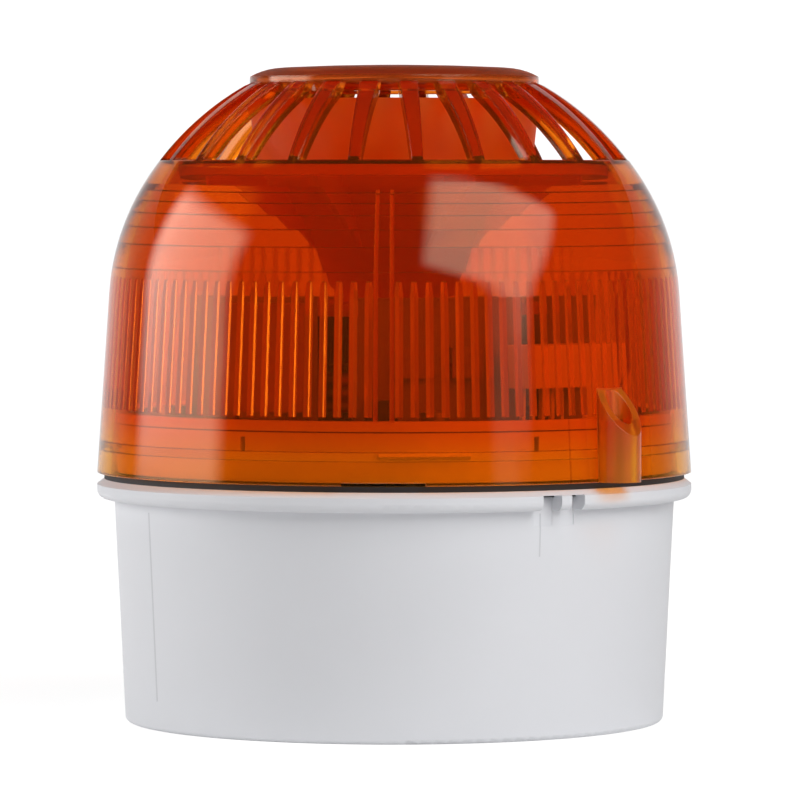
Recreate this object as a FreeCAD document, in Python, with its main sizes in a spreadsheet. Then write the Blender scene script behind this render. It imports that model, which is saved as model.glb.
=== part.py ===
"""Beacon sounder: white wall base, amber slotted lens, and the electronics head between them.

Frame: origin at the centre of the wall face, +Z away from the wall, front of the photograph at -Y.
Azimuths are measured from the front (-Y) towards +X. Millimetres and degrees throughout.
"""
import FreeCAD
import Part
import Sketcher
import math
import os
import re

Vector = FreeCAD.Vector

doc = FreeCAD.newDocument("beacon_sounder")
sheet = doc.addObject("Spreadsheet::Sheet", "Sizes")

SIZES = (
    # Base cup and its flange
    ("rim_radius", 50.0, "outer radius of the flange and of the lens foot"),
    ("base_depth", 37.5, "wall face to the underside of the flange"),
    ("flange_overhang", 2.9, "rim beyond the cup just under the flange"),
    ("base_draft", 1.8, "radius lost from the flange to the wall face"),
    ("base_wall", 2.5, "cup wall"),
    ("base_floor", 3.0, "floor at the wall face"),
    ("base_edge_round", 0.8, "round on the foot edge"),
    ("flange_thick", 3.3, "flange height"),
    ("flange_low_round", 1.4, "round under the flange rim"),
    ("flange_bevel_width", 1.2, "bevel over the flange rim, across"),
    ("flange_bevel_drop", 0.9, "bevel over the flange rim, down"),
    ("notch_depth", 2.5, "height of the two rim notches"),
    ("notch_reach", 4.6, "how far the notches reach in from the rim"),
    ("notch_wide", 3.5, "width of the wide notch"),
    ("notch_narrow", 2.6, "width of the narrow notch"),
    ("notch_wide_azimuth", 30.8, "place of the wide notch"),
    ("notch_narrow_azimuth", 36.6, "place of the narrow notch"),
    ("cable_entry_radius", 10.0, "rear cable entry"),
    ("fixing_spacing", 60.0, "centres of the two fixing slots"),
    ("fixing_slot_width", 4.5, "width of a fixing slot"),
    ("fixing_slot_travel", 5.0, "straight run of a fixing slot"),
    # Seal between base and head
    ("seal_groove_inset", 3.2, "middle of the seal groove in from the rim"),
    ("seal_groove_width", 1.6, "groove width"),
    ("seal_groove_depth", 1.2, "groove depth"),
    ("seal_band_inset", 1.2, "flat band in from the rim"),
    ("seal_band_width", 3.4, "flat band width"),
    ("seal_band_thick", 0.95, "flat band thickness"),
    ("seal_gap", 0.1, "running gap between seal and head"),
    ("seal_fit", 0.05, "gap round the seal tongue"),
    # Bayonet
    ("lug_count", 3.0, "lugs round the bayonet"),
    ("lug_angle", 22.0, "arc of a base lug"),
    ("lug_reach", 2.0, "how far a base lug stands in from the wall"),
    ("lug_thick", 2.5, "height of a base lug"),
    ("lug_drop", 0.4, "top of the base lugs below the flange underside"),
    ("lug_stop_angle", 3.0, "arc of the stop at the end of a base lug"),
    ("lug_stop_drop", 3.0, "how far the stop hangs under its lug"),
    ("lug_stop_gap", 0.6, "angle between a stop and its head lug when locked"),
    ("bayonet_gap", 0.4, "clearance round the bayonet"),
    ("head_lug_angle", 19.0, "arc of a head lug"),
    ("head_lug_thick", 3.2, "height of a head lug"),
    # Lens
    ("lens_wall", 2.2, "lens wall"),
    ("lens_draft", 2.05, "radius lost from the lens foot to the start of the dome"),
    ("shoulder_rise", 30.15, "lens foot to the start of the dome"),
    ("shoulder_arc", 40.0, "radius of the lower dome arc"),
    ("crown_slope", 32.0, "slope angle where the two dome arcs meet"),
    ("crown_arc", 48.0, "radius of the upper dome arc"),
    ("cap_slope", 60.0, "slope angle where the dome meets the cap"),
    ("cap_inset", 0.95, "cap edge in from the end of the dome"),
    ("cap_rim", 1.1, "height of the cap's edge"),
    ("cap_shoulder", 1.5, "rise of the cap's rounded shoulder above its edge"),
    ("cap_shoulder_arc", 11.0, "radius of the cap's rounded shoulder"),
    ("cap_shoulder_width", 5.1, "width of the cap's rounded shoulder"),
    ("cap_crown", 0.5, "rise of the shallow dome above the shoulder"),
    ("cap_lift", 0.4, "cap underside above the end of the dome"),
    ("cap_ledge", 1.8, "flat rim under the cap"),
    ("cap_hollow", 0.9, "hollow under the cap"),
    ("drip_wall", 1.5, "wall of the drip ring under the cap"),
    ("drip_drop", 1.5, "how far the drip ring hangs under the cap"),
    ("drip_gap", 0.2, "drip ring in from the slots"),
    ("slot_count", 24.0, "slots round the crown"),
    ("slot_rise", 52.25, "lens foot to the floor of the slots"),
    ("slot_inner_run", 3.3, "slot cut in past the cap edge"),
    ("slot_outer_run", 3.0, "slot cut out past the meeting of the dome arcs"),
    ("bar_inner_thick", 3.4, "bar thickness at the inner end of the slot cut"),
    ("bar_outer_thick", 1.4, "bar thickness at the outer end of the slot cut"),
    ("lens_turn", -2.0, "azimuth of the lens's clear stripe"),
    ("rib_count", 120.0, "places for ribs round the lens"),
    ("rib_width", 2.0, "width of a rib at its root"),
    ("rib_height", 0.42, "how far a rib stands in"),
    ("rib_root", 0.22, "depth of a rib's root in the wall"),
    ("rib_start", 10.9, "lens foot to the foot of the ribs"),
    ("rib_length", 21.6, "height of the ribs"),
    ("ridge_angle", 0.8, "arc of the two ridges beside the clear stripe"),
    ("ridge_offset", 1.6, "angle from the clear stripe to a ridge"),
    ("ridge_height", 0.5, "how far a ridge stands in"),
    ("ridge_top", 30.0, "slope angle of the dome where the ridges end"),
    ("step_drop", 0.85, "radius lost from one inner ledge to the next"),
    ("step_reach", 0.3, "how far a ledge stands in"),
    ("step_first", 0.45, "radius lost before the first ledge"),
    ("snap_rise", 3.8, "lens foot to the snap groove"),
    ("snap_height", 1.5, "height of the snap groove"),
    ("snap_depth", 0.6, "depth of the snap groove"),
    ("snap_angle", 18.0, "arc of a snap bead"),
    ("snap_count", 4.0, "snap beads round the chassis"),
    ("snap_reach", 0.9, "how far a snap bead stands out"),
    ("snap_gap", 0.2, "clearance round a snap bead"),
    ("pry_width", 13.5, "pry notch in the lens foot"),
    ("pry_height", 0.5, "height of the pry notch"),
    # Tool tube on the lens
    ("tube_offset", 1.0, "axis of the tube out from the lens foot"),
    ("tube_azimuth", 45.6, "place of the tube"),
    ("tube_radius", 3.65, "outer radius of the tube"),
    ("tube_bore", 2.2, "bore of the tube"),
    ("tube_drop", 0.0, "tube foot below the lens foot"),
    ("tube_low", 7.6, "low end of the slanted mouth above the lens foot"),
    ("tube_high", 17.0, "high end of the slanted mouth above the lens foot"),
    # Chassis
    ("chassis_gap", 0.5, "gap between chassis ring and lens"),
    ("chassis_ring_wall", 1.8, "wall of the chassis ring"),
    ("chassis_ring_rise", 10.2, "ring top above the lens foot"),
    ("chassis_lift", 0.3, "ring foot above the lens foot"),
    ("ring_slit_count", 6.0, "windows in the ring"),
    ("ring_slit_width", 0.8, "width of a ring window"),
    ("ring_slit_depth", 2.4, "height of a ring window"),
    ("ring_slit_drop", 2.7, "ring top to a ring window"),
    ("ring_slit_azimuth", -31.0, "first ring window"),
    ("deck_rise", 2.6, "deck underside above the lens foot"),
    ("deck_thick", 2.0, "deck thickness"),
    ("skirt_wall", 2.0, "wall of the bayonet skirt"),
    # Board stack
    ("board_gap", 2.9, "gap between main board and chassis ring"),
    ("board_thick", 1.6, "main board thickness"),
    ("board_standoff", 3.5, "posts under the main board"),
    ("board_post_radius", 3.0, "radius of the posts"),
    ("board_screw_inset", 4.6, "board screws in from the board's edge"),
    ("board_screw_count", 4.0, "board screws"),
    ("board_screw_azimuth", 10.0, "first board screw"),
    ("board_screw_radius", 1.25, "shank radius of the small screws"),
    ("board_screw_head", 2.4, "head radius of the small screws"),
    ("board_screw_head_thick", 1.6, "head height of the small screws"),
    ("board_screw_length", 4.6, "shank length of the small screws"),
    ("screw_gap", 0.15, "clearance round a screw shank"),
    ("screw_slot", 0.7, "width of a screw slot"),
    ("screw_slot_depth", 0.7, "depth of a screw slot"),
    # Sound source
    ("driver_inset", 10.5, "driver housing in from the light boards"),
    ("driver_wall", 3.0, "driver housing wall"),
    ("driver_floor", 1.5, "driver housing floor"),
    ("driver_height", 16.5, "driver housing height to the plate seat"),
    ("plate_inset", 1.2, "brass plate in from the driver housing"),
    ("plate_thick", 0.3, "brass plate thickness"),
    ("plate_gap", 0.2, "gap round the brass plate"),
    ("ceramic_inset", 6.3, "ceramic disc in from the brass plate"),
    ("ceramic_thick", 0.25, "ceramic disc thickness"),
    ("driver_screw_offset", 1.9, "driver screws out from the driver housing"),
    ("driver_screw_count", 3.0, "driver screws"),
    ("driver_screw_azimuth", 73.0, "first driver screw"),
    ("driver_boss_radius", 2.6, "bosses for the driver screws"),
    # Horn
    ("horn_wall", 1.8, "horn wall"),
    ("horn_foot_margin", 3.0, "horn foot flange beyond the driver screws"),
    ("horn_foot_thick", 2.0, "horn foot flange thickness"),
    ("horn_chamber_inset", 2.8, "chamber over the plate, in from the plate's edge"),
    ("horn_chamber_depth", 0.9, "chamber height"),
    ("horn_throat_radius", 7.0, "throat"),
    ("horn_flare", 1.2, "radius gained from the ledge to the lip"),
    ("horn_lip_inset", 0.86, "lip in from the end of the dome"),
    ("horn_lip_drop", 2.7, "lip below the cap underside"),
    ("horn_ledge_drop", 2.9, "ledge underside below the slot floor"),
    ("horn_ledge_thick", 1.7, "ledge thickness"),
    ("horn_ledge_gap", 0.6, "gap between black ring and lens"),
    ("horn_seal_width", 2.2, "black ring on the ledge"),
    ("horn_seal_thick", 1.2, "black ring thickness"),
    ("fin_count", 8.0, "fins under the horn's ledge"),
    ("fin_angle", 2.4, "arc of a fin"),
    ("fin_azimuth", -23.0, "first fin"),
    ("fin_inset", 3.0, "fin in from the ledge's edge"),
    ("fin_edge", 2.0, "height of a fin's outer edge"),
    ("fin_drop", 14.0, "fin height at the cone"),
    # Light boards
    ("light_count", 6.0, "upright light boards"),
    ("light_azimuth", 13.0, "first light board"),
    ("light_inset", 12.0, "inner face of the light boards in from the main board's edge"),
    ("light_width", 28.0, "light board width"),
    ("light_height", 20.0, "light board height"),
    ("light_thick", 1.6, "light board thickness"),
    ("lamp_size", 5.0, "lamp width and height"),
    ("lamp_thick", 1.6, "lamp thickness"),
    ("lamp_pitch", 9.0, "lamp spacing along a board"),
    ("lamp_rise", 9.5, "lamp middle above the main board"),
    # Parts on the main board
    ("part_inset", 8.2, "tall parts in from the corners between the light boards"),
    ("capacitor_radius", 4.0, "capacitor can"),
    ("capacitor_height", 11.5, "capacitor height"),
    ("capacitor_groove", 0.5, "depth of the crimp round a capacitor"),
    ("capacitor_azimuth", 43.0, "first capacitor"),
    ("capacitor_step", 60.0, "angle between the capacitors"),
    ("choke_azimuth", -17.0, "place of the choke"),
    ("choke_radius", 4.2, "choke flange radius"),
    ("choke_height", 9.0, "choke height"),
    ("choke_flange", 1.2, "choke flange thickness"),
    ("choke_neck", 1.9, "choke neck radius"),
    ("choke_wire_gap", 0.05, "gap between winding and core"),
    ("choke_wire_depth", 0.5, "winding below the flange edge"),
    ("chip_x", 2.0, "control chip centre, across"),
    ("chip_inset", 16.0, "control chip centre in from the board's front edge"),
    ("chip_size", 9.0, "control chip width"),
    ("chip_thick", 1.6, "control chip thickness"),
    ("chip_leg_width", 0.4, "control chip leg width"),
    ("chip_leg_reach", 1.2, "control chip leg reach"),
    ("chip_leg_pitch", 1.27, "control chip leg spacing"),
    ("connector_azimuth", 44.0, "place of the link connector"),
    ("connector_inset", 6.4, "inner face of the connector in from the board's edge"),
    ("connector_depth", 6.0, "connector from inner to outer face"),
    ("connector_width", 20.0, "connector width"),
    ("connector_height", 7.0, "connector body height"),
    ("connector_lift", 5.4, "connector body above the board"),
    ("connector_foot", 8.0, "width of the connector's foot"),
    ("connector_pitch", 2.2, "connector pin spacing"),
    ("pin_size", 0.7, "pin thickness of the parts on the board"),
    ("relay_azimuth", -33.0, "place of the relay"),
    ("relay_inset", 6.2, "inner face of the relay in from the board's edge"),
    ("relay_depth", 6.0, "relay from inner to outer face"),
    ("relay_width", 15.0, "relay width"),
    ("relay_height", 17.6, "relay body height"),
    ("relay_lift", 1.6, "relay body above the board"),
    ("relay_pitch", 10.0, "relay pin spacing"),
    ("fuse_azimuth", -3.0, "place of the fuse"),
    ("fuse_inset", 5.0, "inner face of the fuse in from the board's edge"),
    ("fuse_depth", 4.0, "fuse from inner to outer face"),
    ("fuse_width", 5.2, "fuse width"),
    ("fuse_height", 3.6, "fuse height"),
    # Tone switches and volume trimmer, under the main board
    ("switch_x", -17.0, "switch centre, across"),
    ("switch_y", -14.0, "switch centre, front to back"),
    ("switch_pitch", 2.54, "switch slider spacing"),
    ("switch_margin", 1.0, "switch body beyond the end sliders"),
    ("switch_width", 7.0, "switch body, front to back"),
    ("switch_height", 4.0, "switch body below the board"),
    ("slider_width", 1.3, "slider across"),
    ("slider_length", 1.5, "slider along its travel"),
    ("slider_height", 2.2, "slider height"),
    ("slider_proud", 0.6, "slider below the switch body"),
    ("slider_travel", 1.6, "slider travel"),
    ("slider_gap", 0.15, "clearance round a slider"),
    ("volume_x", 18.0, "trimmer centre, across"),
    ("volume_y", -14.0, "trimmer centre, front to back"),
    ("volume_size", 7.0, "trimmer body"),
    ("volume_height", 4.0, "trimmer body below the board"),
    ("rotor_radius", 2.3, "trimmer rotor"),
    ("rotor_height", 2.2, "rotor height"),
    ("rotor_proud", 0.6, "rotor below the trimmer body"),
    ("rotor_gap", 0.3, "clearance round the rotor"),
    ("window_gap", 1.0, "clearance round switch and trimmer in the deck"),
    # Terminals in the base and pads on the head
    ("way_count", 4.0, "terminal ways"),
    ("way_pitch", 8.0, "terminal spacing"),
    ("block_inset", 18.0, "terminal block centre in from the skirt"),
    ("block_width", 15.0, "terminal block, front to back"),
    ("block_height", 13.0, "terminal block height"),
    ("block_end", 8.8, "block beyond the end ways"),
    ("block_screw_offset", 5.6, "block screws beyond the end ways"),
    ("post_height", 15.0, "block posts above the floor"),
    ("post_radius", 3.6, "block posts"),
    ("cage_size", 5.2, "clamp cage width and depth"),
    ("cage_height", 6.0, "clamp cage height"),
    ("cage_gap", 0.2, "clearance round a cage"),
    ("cage_floor", 2.0, "block floor under a cage"),
    ("wire_radius", 1.6, "wire hole"),
    ("clamp_radius", 1.4, "clamp screw shank"),
    ("clamp_head", 2.2, "clamp screw head radius"),
    ("clamp_head_thick", 1.8, "clamp screw head height"),
    ("clamp_sink", 1.0, "clamp head below the block top"),
    ("spring_strip", 0.5, "leaf spring thickness"),
    ("spring_width", 3.2, "leaf spring width"),
    ("spring_bow", 1.8, "radius of the leaf spring's bow"),
    ("spring_root", 5.0, "leaf spring leg in the block"),
    ("spring_back", 4.4, "leaf spring slot behind the block centre"),
    ("spring_gap", 0.15, "clearance round the leaf spring's leg"),
    ("contact_gap", 0.3, "gap between spring and pad"),
    ("pad_thick", 0.8, "pad thickness"),
    ("pad_width", 5.6, "pad width"),
    ("pad_length", 7.0, "pad length"),
    ("pad_pin", 0.8, "pad pin radius"),
)

NAMES = tuple(entry[0] for entry in SIZES)
for row, (alias, number, note) in enumerate(SIZES, start=1):
    sheet.set(f"A{row}", alias)
    sheet.set(f"B{row}", str(number))
    sheet.setAlias(f"B{row}", alias)
    sheet.set(f"C{row}", note)
doc.recompute()

WORD = re.compile(r"[a-z][a-z_]*")


def bind(text):
    """Point every size named in an expression at its cell."""
    def cell(match):
        word = match.group(0)
        return f"Sizes.{word}" if word in NAMES else word
    return WORD.sub(cell, text)


def number(text):
    """Present value of an expression, in millimetres or degrees."""
    found = sheet.evalExpression(bind(text))
    return float(getattr(found, "Value", found))


def count(alias):
    """A size that counts copies."""
    return int(round(number(alias)))


def link(item, prop, text):
    """Bind one property to an expression of the sheet's sizes."""
    item.setExpression(prop, bind(text))


# Heights that several pieces share, from the wall face up
FLANGE_TOP = "(base_depth + flange_thick)"
LENS_FOOT = f"({FLANGE_TOP} + seal_band_thick + seal_gap)"
DECK_LOW = f"({LENS_FOOT} + deck_rise)"
DECK_TOP = f"({DECK_LOW} + deck_thick)"
BOARD_LOW = f"({DECK_TOP} + board_standoff)"
BOARD_TOP = f"({BOARD_LOW} + board_thick)"
PLATE_SEAT = f"({BOARD_TOP} + driver_height)"
HORN_FOOT = f"({PLATE_SEAT} + plate_thick)"
HORN_FOOT_TOP = f"({HORN_FOOT} + horn_foot_thick)"
SLOT_FLOOR = f"({LENS_FOOT} + slot_rise)"
LEDGE_LOW = f"({SLOT_FLOOR} - horn_ledge_drop)"
LEDGE_TOP = f"({LEDGE_LOW} + horn_ledge_thick)"

# Dome of the lens: a drafted wall, then two tangent arcs up to the cap
DRAFT = "atan(lens_draft / shoulder_rise)"
SHOULDER_R = "(rim_radius - lens_draft)"
SHOULDER = f"({LENS_FOOT} + shoulder_rise)"
LOW_X = f"({SHOULDER_R} - shoulder_arc * cos({DRAFT}))"
LOW_Z = f"({SHOULDER} - shoulder_arc * sin({DRAFT}))"
CROWN_R = f"({LOW_X} + shoulder_arc * cos(crown_slope))"
CROWN_Z = f"({LOW_Z} + shoulder_arc * sin(crown_slope))"
TOP_X = f"({CROWN_R} - crown_arc * cos(crown_slope))"
TOP_Z = f"({CROWN_Z} - crown_arc * sin(crown_slope))"
ROOT_R = f"({TOP_X} + crown_arc * cos(cap_slope))"
ROOT_Z = f"({TOP_Z} + crown_arc * sin(cap_slope))"
CAP_LOW = f"({ROOT_Z} + cap_lift)"
CAP_R = f"({ROOT_R} - cap_inset)"
CAP_FLAT = f"({CAP_R} - cap_shoulder_width)"
SLOT_IN = f"({CAP_R} - slot_inner_run)"
DRIP_R = f"({SLOT_IN} - drip_gap)"

# Bayonet levels and radii
BASE_NECK = "(rim_radius - flange_overhang)"
BASE_FOOT = f"({BASE_NECK} - base_draft)"
BASE_INSIDE = f"({BASE_NECK} - base_wall)"
LUG_TOP = "(base_depth - lug_drop)"
LUG_LOW = f"({LUG_TOP} - lug_thick)"
SKIRT_OUT = f"({BASE_INSIDE} - lug_reach - bayonet_gap)"
HEAD_LUG_TOP = f"({LUG_LOW} - bayonet_gap)"
HEAD_LUG_LOW = f"({HEAD_LUG_TOP} - head_lug_thick)"
CHASSIS_OUT = "(rim_radius - lens_wall - lens_draft * chassis_ring_rise / shoulder_rise" \
              " - chassis_gap)"

# Levels of the terminals
BLOCK_LOW = "(base_floor + post_height)"
BLOCK_TOP = f"({BLOCK_LOW} + block_height)"
PAD_LOW = f"({DECK_LOW} - pad_thick)"
SPRING_TOP = f"({PAD_LOW} - contact_gap)"
BLOCK_Y = f"({SKIRT_OUT} - skirt_wall - block_inset)"

# Radii of the board stack, in from the chassis ring
RING_IN = f"({CHASSIS_OUT} - chassis_ring_wall)"
BOARD_R = f"({RING_IN} - board_gap)"
SCREW_RING = f"({BOARD_R} - board_screw_inset)"
LIGHT_IN = f"({BOARD_R} - light_inset)"
DRIVER_R = f"({LIGHT_IN} - driver_inset)"
PLATE_R = f"({DRIVER_R} - plate_inset)"
DRIVER_RING = f"({DRIVER_R} + driver_screw_offset)"
PART_RING = f"({LIGHT_IN} / cos(180 / light_count) - part_inset)"


def origin_of(body, role):
    """A plane or axis of a body's own origin."""
    for feature in body.Origin.OriginFeatures:
        if feature.Role == role:
            return feature
    raise ValueError(role)


def new_body(name):
    return doc.addObject("PartDesign::Body", name)


def new_sketch(body, name, role, height="0", turn="0"):
    """A sketch on one of the body's planes, lifted and turned about the plane's normal."""
    sketch = body.newObject("Sketcher::SketchObject", name)
    sketch.AttachmentSupport = [(origin_of(body, role), "")]
    sketch.MapMode = "FlatFace"
    start = FreeCAD.Rotation(Vector(0, 0, 1), 45)
    sketch.AttachmentOffset = FreeCAD.Placement(Vector(0, 0, 0), start)
    link(sketch, "AttachmentOffset.Base.z", height)
    link(sketch, "AttachmentOffset.Rotation.Angle", turn)
    return sketch


def arc_between(start, end, radius):
    """Arc from start to end; a positive radius keeps its centre on the left."""
    chord = end.sub(start)
    half = chord.Length / 2
    normal = Vector(-chord.y, chord.x, 0).normalize()
    reach = math.sqrt(max(radius * radius - half * half, 0.0))
    centre = start.add(chord.multiply(0.5)).add(normal.multiply(math.copysign(reach, radius)))
    first, last = (start, end) if radius > 0 else (end, start)
    low = math.atan2(first.y - centre.y, first.x - centre.x)
    high = math.atan2(last.y - centre.y, last.x - centre.x)
    circle = Part.Circle(centre, Vector(0, 0, 1), abs(radius))
    return Part.ArcOfCircle(circle, low, high)


def draw(sketch, corners):
    """Closed outline through corners (across, up, arc radius to the next corner or nothing)."""
    spots = [Vector(number(corner[0]), number(corner[1]), 0) for corner in corners]
    shapes = []
    ends = []
    first = sketch.GeometryCount
    for index, corner in enumerate(corners):
        start = spots[index]
        end = spots[(index + 1) % len(spots)]
        if len(corner) > 2:
            radius = number(corner[2])
            shapes.append(arc_between(start, end, radius))
            ends.append((1, 2) if radius > 0 else (2, 1))
        else:
            shapes.append(Part.LineSegment(start, end))
            ends.append((1, 2))
    sketch.addGeometry(shapes, False)
    rules = []
    texts = []
    for index, corner in enumerate(corners):
        after = (index + 1) % len(corners)
        here = first + index
        rules.append(Sketcher.Constraint("Coincident", here, ends[index][1], first + after, ends[after][0]))
        texts.append(None)
        for kind, axis, text, place in (("DistanceX", -2, corner[0], spots[index].x),
                                        ("DistanceY", -1, corner[1], spots[index].y)):
            if abs(place) < 1e-9:
                rules.append(Sketcher.Constraint("PointOnObject", here, ends[index][0], axis))
                texts.append(None)
            else:
                rules.append(Sketcher.Constraint(kind, -1, 1, here, ends[index][0], place))
                texts.append(text)
        if len(corner) > 2:
            radius = number(corner[2])
            if abs(spots[index].distanceToPoint(spots[after]) - 2 * abs(radius)) < 1e-6:
                rules.append(Sketcher.Constraint("Symmetric", here, 1, here, 2, here, 3))
                texts.append(None)
            else:
                rules.append(Sketcher.Constraint("Radius", here, abs(radius)))
                texts.append(corner[2] if radius > 0 else f"-({corner[2]})")
    start_rule = sketch.ConstraintCount
    sketch.addConstraint(rules)
    for index, text in enumerate(texts):
        if text is not None:
            link(sketch, f"Constraints[{start_rule + index}]", text)


def circle(sketch, across, up, radius):
    """A circle bound to the sheet by its centre and radius."""
    centre = Vector(number(across), number(up), 0)
    geo = sketch.addGeometry(Part.Circle(centre, Vector(0, 0, 1), number(radius)), False)
    for kind, axis, text, place in (("DistanceX", -2, across, centre.x), ("DistanceY", -1, up, centre.y)):
        if abs(place) < 1e-9:
            sketch.addConstraint(Sketcher.Constraint("PointOnObject", geo, 3, axis))
        else:
            rule = sketch.addConstraint(Sketcher.Constraint(kind, -1, 1, geo, 3, place))
            link(sketch, f"Constraints[{rule}]", text)
    rule = sketch.addConstraint(Sketcher.Constraint("Radius", geo, number(radius)))
    link(sketch, f"Constraints[{rule}]", radius)


def revolve(body, name, corners, angle="360", turn=None):
    """Turn a half section about the axis; a part turn stands evenly about its azimuth."""
    sketch = body.newObject("Sketcher::SketchObject", f"{name}_section")
    sketch.AttachmentSupport = [(origin_of(body, "XZ_Plane"), "")]
    sketch.MapMode = "FlatFace"
    if turn is not None:
        start = FreeCAD.Rotation(Vector(0, 1, 0), 45)
        sketch.AttachmentOffset = FreeCAD.Placement(Vector(0, 0, 0), start)
        link(sketch, "AttachmentOffset.Rotation.Angle", f"{turn} - 90")
    draw(sketch, corners)
    feature = body.newObject("PartDesign::Revolution", name)
    feature.Profile = sketch
    feature.ReferenceAxis = (sketch, ["V_Axis"])
    if angle == "360":
        feature.Angle = 360.0
    else:
        feature.Midplane = True
        link(feature, "Angle", angle)
    return feature


def pad(body, name, sketch, length, reverse=False):
    feature = body.newObject("PartDesign::Pad", name)
    feature.Profile = sketch
    feature.Reversed = reverse
    link(feature, "Length", length)
    return feature


def pocket(body, name, sketch, length, reverse=False):
    """Cut against the sketch's normal, or along it when reversed; it must remove material."""
    doc.recompute()
    before = body.Shape.Volume
    feature = body.newObject("PartDesign::Pocket", name)
    feature.Profile = sketch
    feature.Reversed = reverse
    link(feature, "Length", length)
    doc.recompute()
    if body.Shape.Volume > before - 1e-6:
        raise ValueError(f"{name} cuts nothing")
    return feature


def polar(body, name, features, copies, angle="360"):
    """Repeat features round the body's axis."""
    feature = body.newObject("PartDesign::PolarPattern", name)
    feature.Originals = features
    feature.Axis = (origin_of(body, "Z_Axis"), [""])
    link(feature, "Angle", angle)
    link(feature, "Occurrences", copies)
    body.Tip = feature
    return feature


def box(name, across, deep, high, middle_x, middle_y, low):
    """Block with its middle over a point and its underside at a level."""
    item = doc.addObject("Part::Box", name)
    link(item, "Length", across)
    link(item, "Width", deep)
    link(item, "Height", high)
    link(item, "Placement.Base.x", f"{middle_x} - ({across}) / 2")
    link(item, "Placement.Base.y", f"{middle_y} - ({deep}) / 2")
    link(item, "Placement.Base.z", low)
    return item


def ring_box(name, out, wide, high, start, azimuth, low, slide="0"):
    """Block that reaches outwards from a radius at an azimuth."""
    item = doc.addObject("Part::Box", name)
    turn = f"({azimuth} - 90)"
    back = f"({slide} - ({wide}) / 2)"
    link(item, "Length", out)
    link(item, "Width", wide)
    link(item, "Height", high)
    item.Placement = FreeCAD.Placement(Vector(0, 0, 0), FreeCAD.Rotation(Vector(0, 0, 1), 45))
    link(item, "Placement.Rotation.Angle", turn)
    link(item, "Placement.Base.x", f"({start}) * cos({turn}) - {back} * sin({turn})")
    link(item, "Placement.Base.y", f"({start}) * sin({turn}) + {back} * cos({turn})")
    link(item, "Placement.Base.z", low)
    return item


def rod(name, radius, high, middle_x, middle_y, low):
    """Upright cylinder."""
    item = doc.addObject("Part::Cylinder", name)
    link(item, "Radius", radius)
    link(item, "Height", high)
    link(item, "Placement.Base.x", middle_x)
    link(item, "Placement.Base.y", middle_y)
    link(item, "Placement.Base.z", low)
    return item


def ring_rod(name, radius, high, ring, azimuth, low):
    """Upright cylinder at a radius and an azimuth."""
    return rod(name, radius, high, f"({ring}) * sin({azimuth})", f"-({ring}) * cos({azimuth})", low)


def fuse(name, items):
    item = doc.addObject("Part::MultiFuse", name)
    item.Shapes = items
    return item


def cut(name, item, tools):
    """Take one or more tools away from an item."""
    tool = tools[0]
    if len(tools) > 1:
        tool = fuse(f"{name}_tools", tools)
    result = doc.addObject("Part::Cut", name)
    result.Base = item
    result.Tool = tool
    return result


def group(name, items):
    item = doc.addObject("Part::Compound", name)
    item.Links = items
    return item


def screw(name, shank, length, head, head_thick, middle_x, middle_y, seat):
    """Slotted screw pointing down, with the underside of its head at a level."""
    top = rod(f"{name}_head", head, head_thick, middle_x, middle_y, seat)
    stem = rod(f"{name}_shank", shank, length, middle_x, middle_y, f"{seat} - ({length})")
    slot = box(f"{name}_slot", f"2 * ({head})", "screw_slot", "screw_slot_depth", middle_x, middle_y,
               f"{seat} + {head_thick} - screw_slot_depth")
    return cut(name, fuse(f"{name}_blank", [top, stem]), [slot])


nodes = {}


def keep(name, item):
    """Name a finished sub-part."""
    item.Label = name
    nodes[name] = item
    return item


# Base housing: the moulded cup with its flange, turned in one profile
GROOVE_OUT = "(rim_radius - seal_groove_inset + seal_groove_width / 2)"
GROOVE_IN = f"({GROOVE_OUT} - seal_groove_width)"
GROOVE_LOW = f"({FLANGE_TOP} - seal_groove_depth)"

body = new_body("base_shell")
revolve(body, "base_cup", [
    ("cable_entry_radius", "0"),
    (f"{BASE_FOOT} - base_edge_round", "0", "base_edge_round"),
    (BASE_FOOT, "base_edge_round"),
    (BASE_NECK, "base_depth"),
    ("rim_radius - flange_low_round", "base_depth", "flange_low_round"),
    ("rim_radius", "base_depth + flange_low_round"),
    ("rim_radius", f"{FLANGE_TOP} - flange_bevel_drop"),
    ("rim_radius - flange_bevel_width", FLANGE_TOP),
    (GROOVE_OUT, FLANGE_TOP),
    (GROOVE_OUT, GROOVE_LOW),
    (GROOVE_IN, GROOVE_LOW),
    (GROOVE_IN, FLANGE_TOP),
    (BASE_INSIDE, FLANGE_TOP),
    (BASE_INSIDE, "base_depth"),
    (f"{BASE_FOOT} - base_wall", "base_floor"),
    ("cable_entry_radius", "base_floor"),
])
lug = revolve(body, "base_lug", [
    (f"{BASE_INSIDE} - lug_reach", LUG_LOW),
    (f"{BASE_INSIDE} + base_wall / 2", LUG_LOW),
    (f"{BASE_INSIDE} + base_wall / 2", LUG_TOP),
    (f"{BASE_INSIDE} - lug_reach", LUG_TOP),
], "lug_angle", "90")
stop = revolve(body, "base_lug_stop", [
    (f"{BASE_INSIDE} - lug_reach", f"{LUG_LOW} - lug_stop_drop"),
    (f"{BASE_INSIDE} + base_wall / 3", f"{LUG_LOW} - lug_stop_drop"),
    (f"{BASE_INSIDE} + base_wall / 3", f"{LUG_LOW} + lug_thick / 2"),
    (f"{BASE_INSIDE} - lug_reach", f"{LUG_LOW} + lug_thick / 2"),
], "lug_stop_angle", "90 - (lug_angle - lug_stop_angle) / 2")
polar(body, "base_lugs", [lug, stop], "lug_count")

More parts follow.
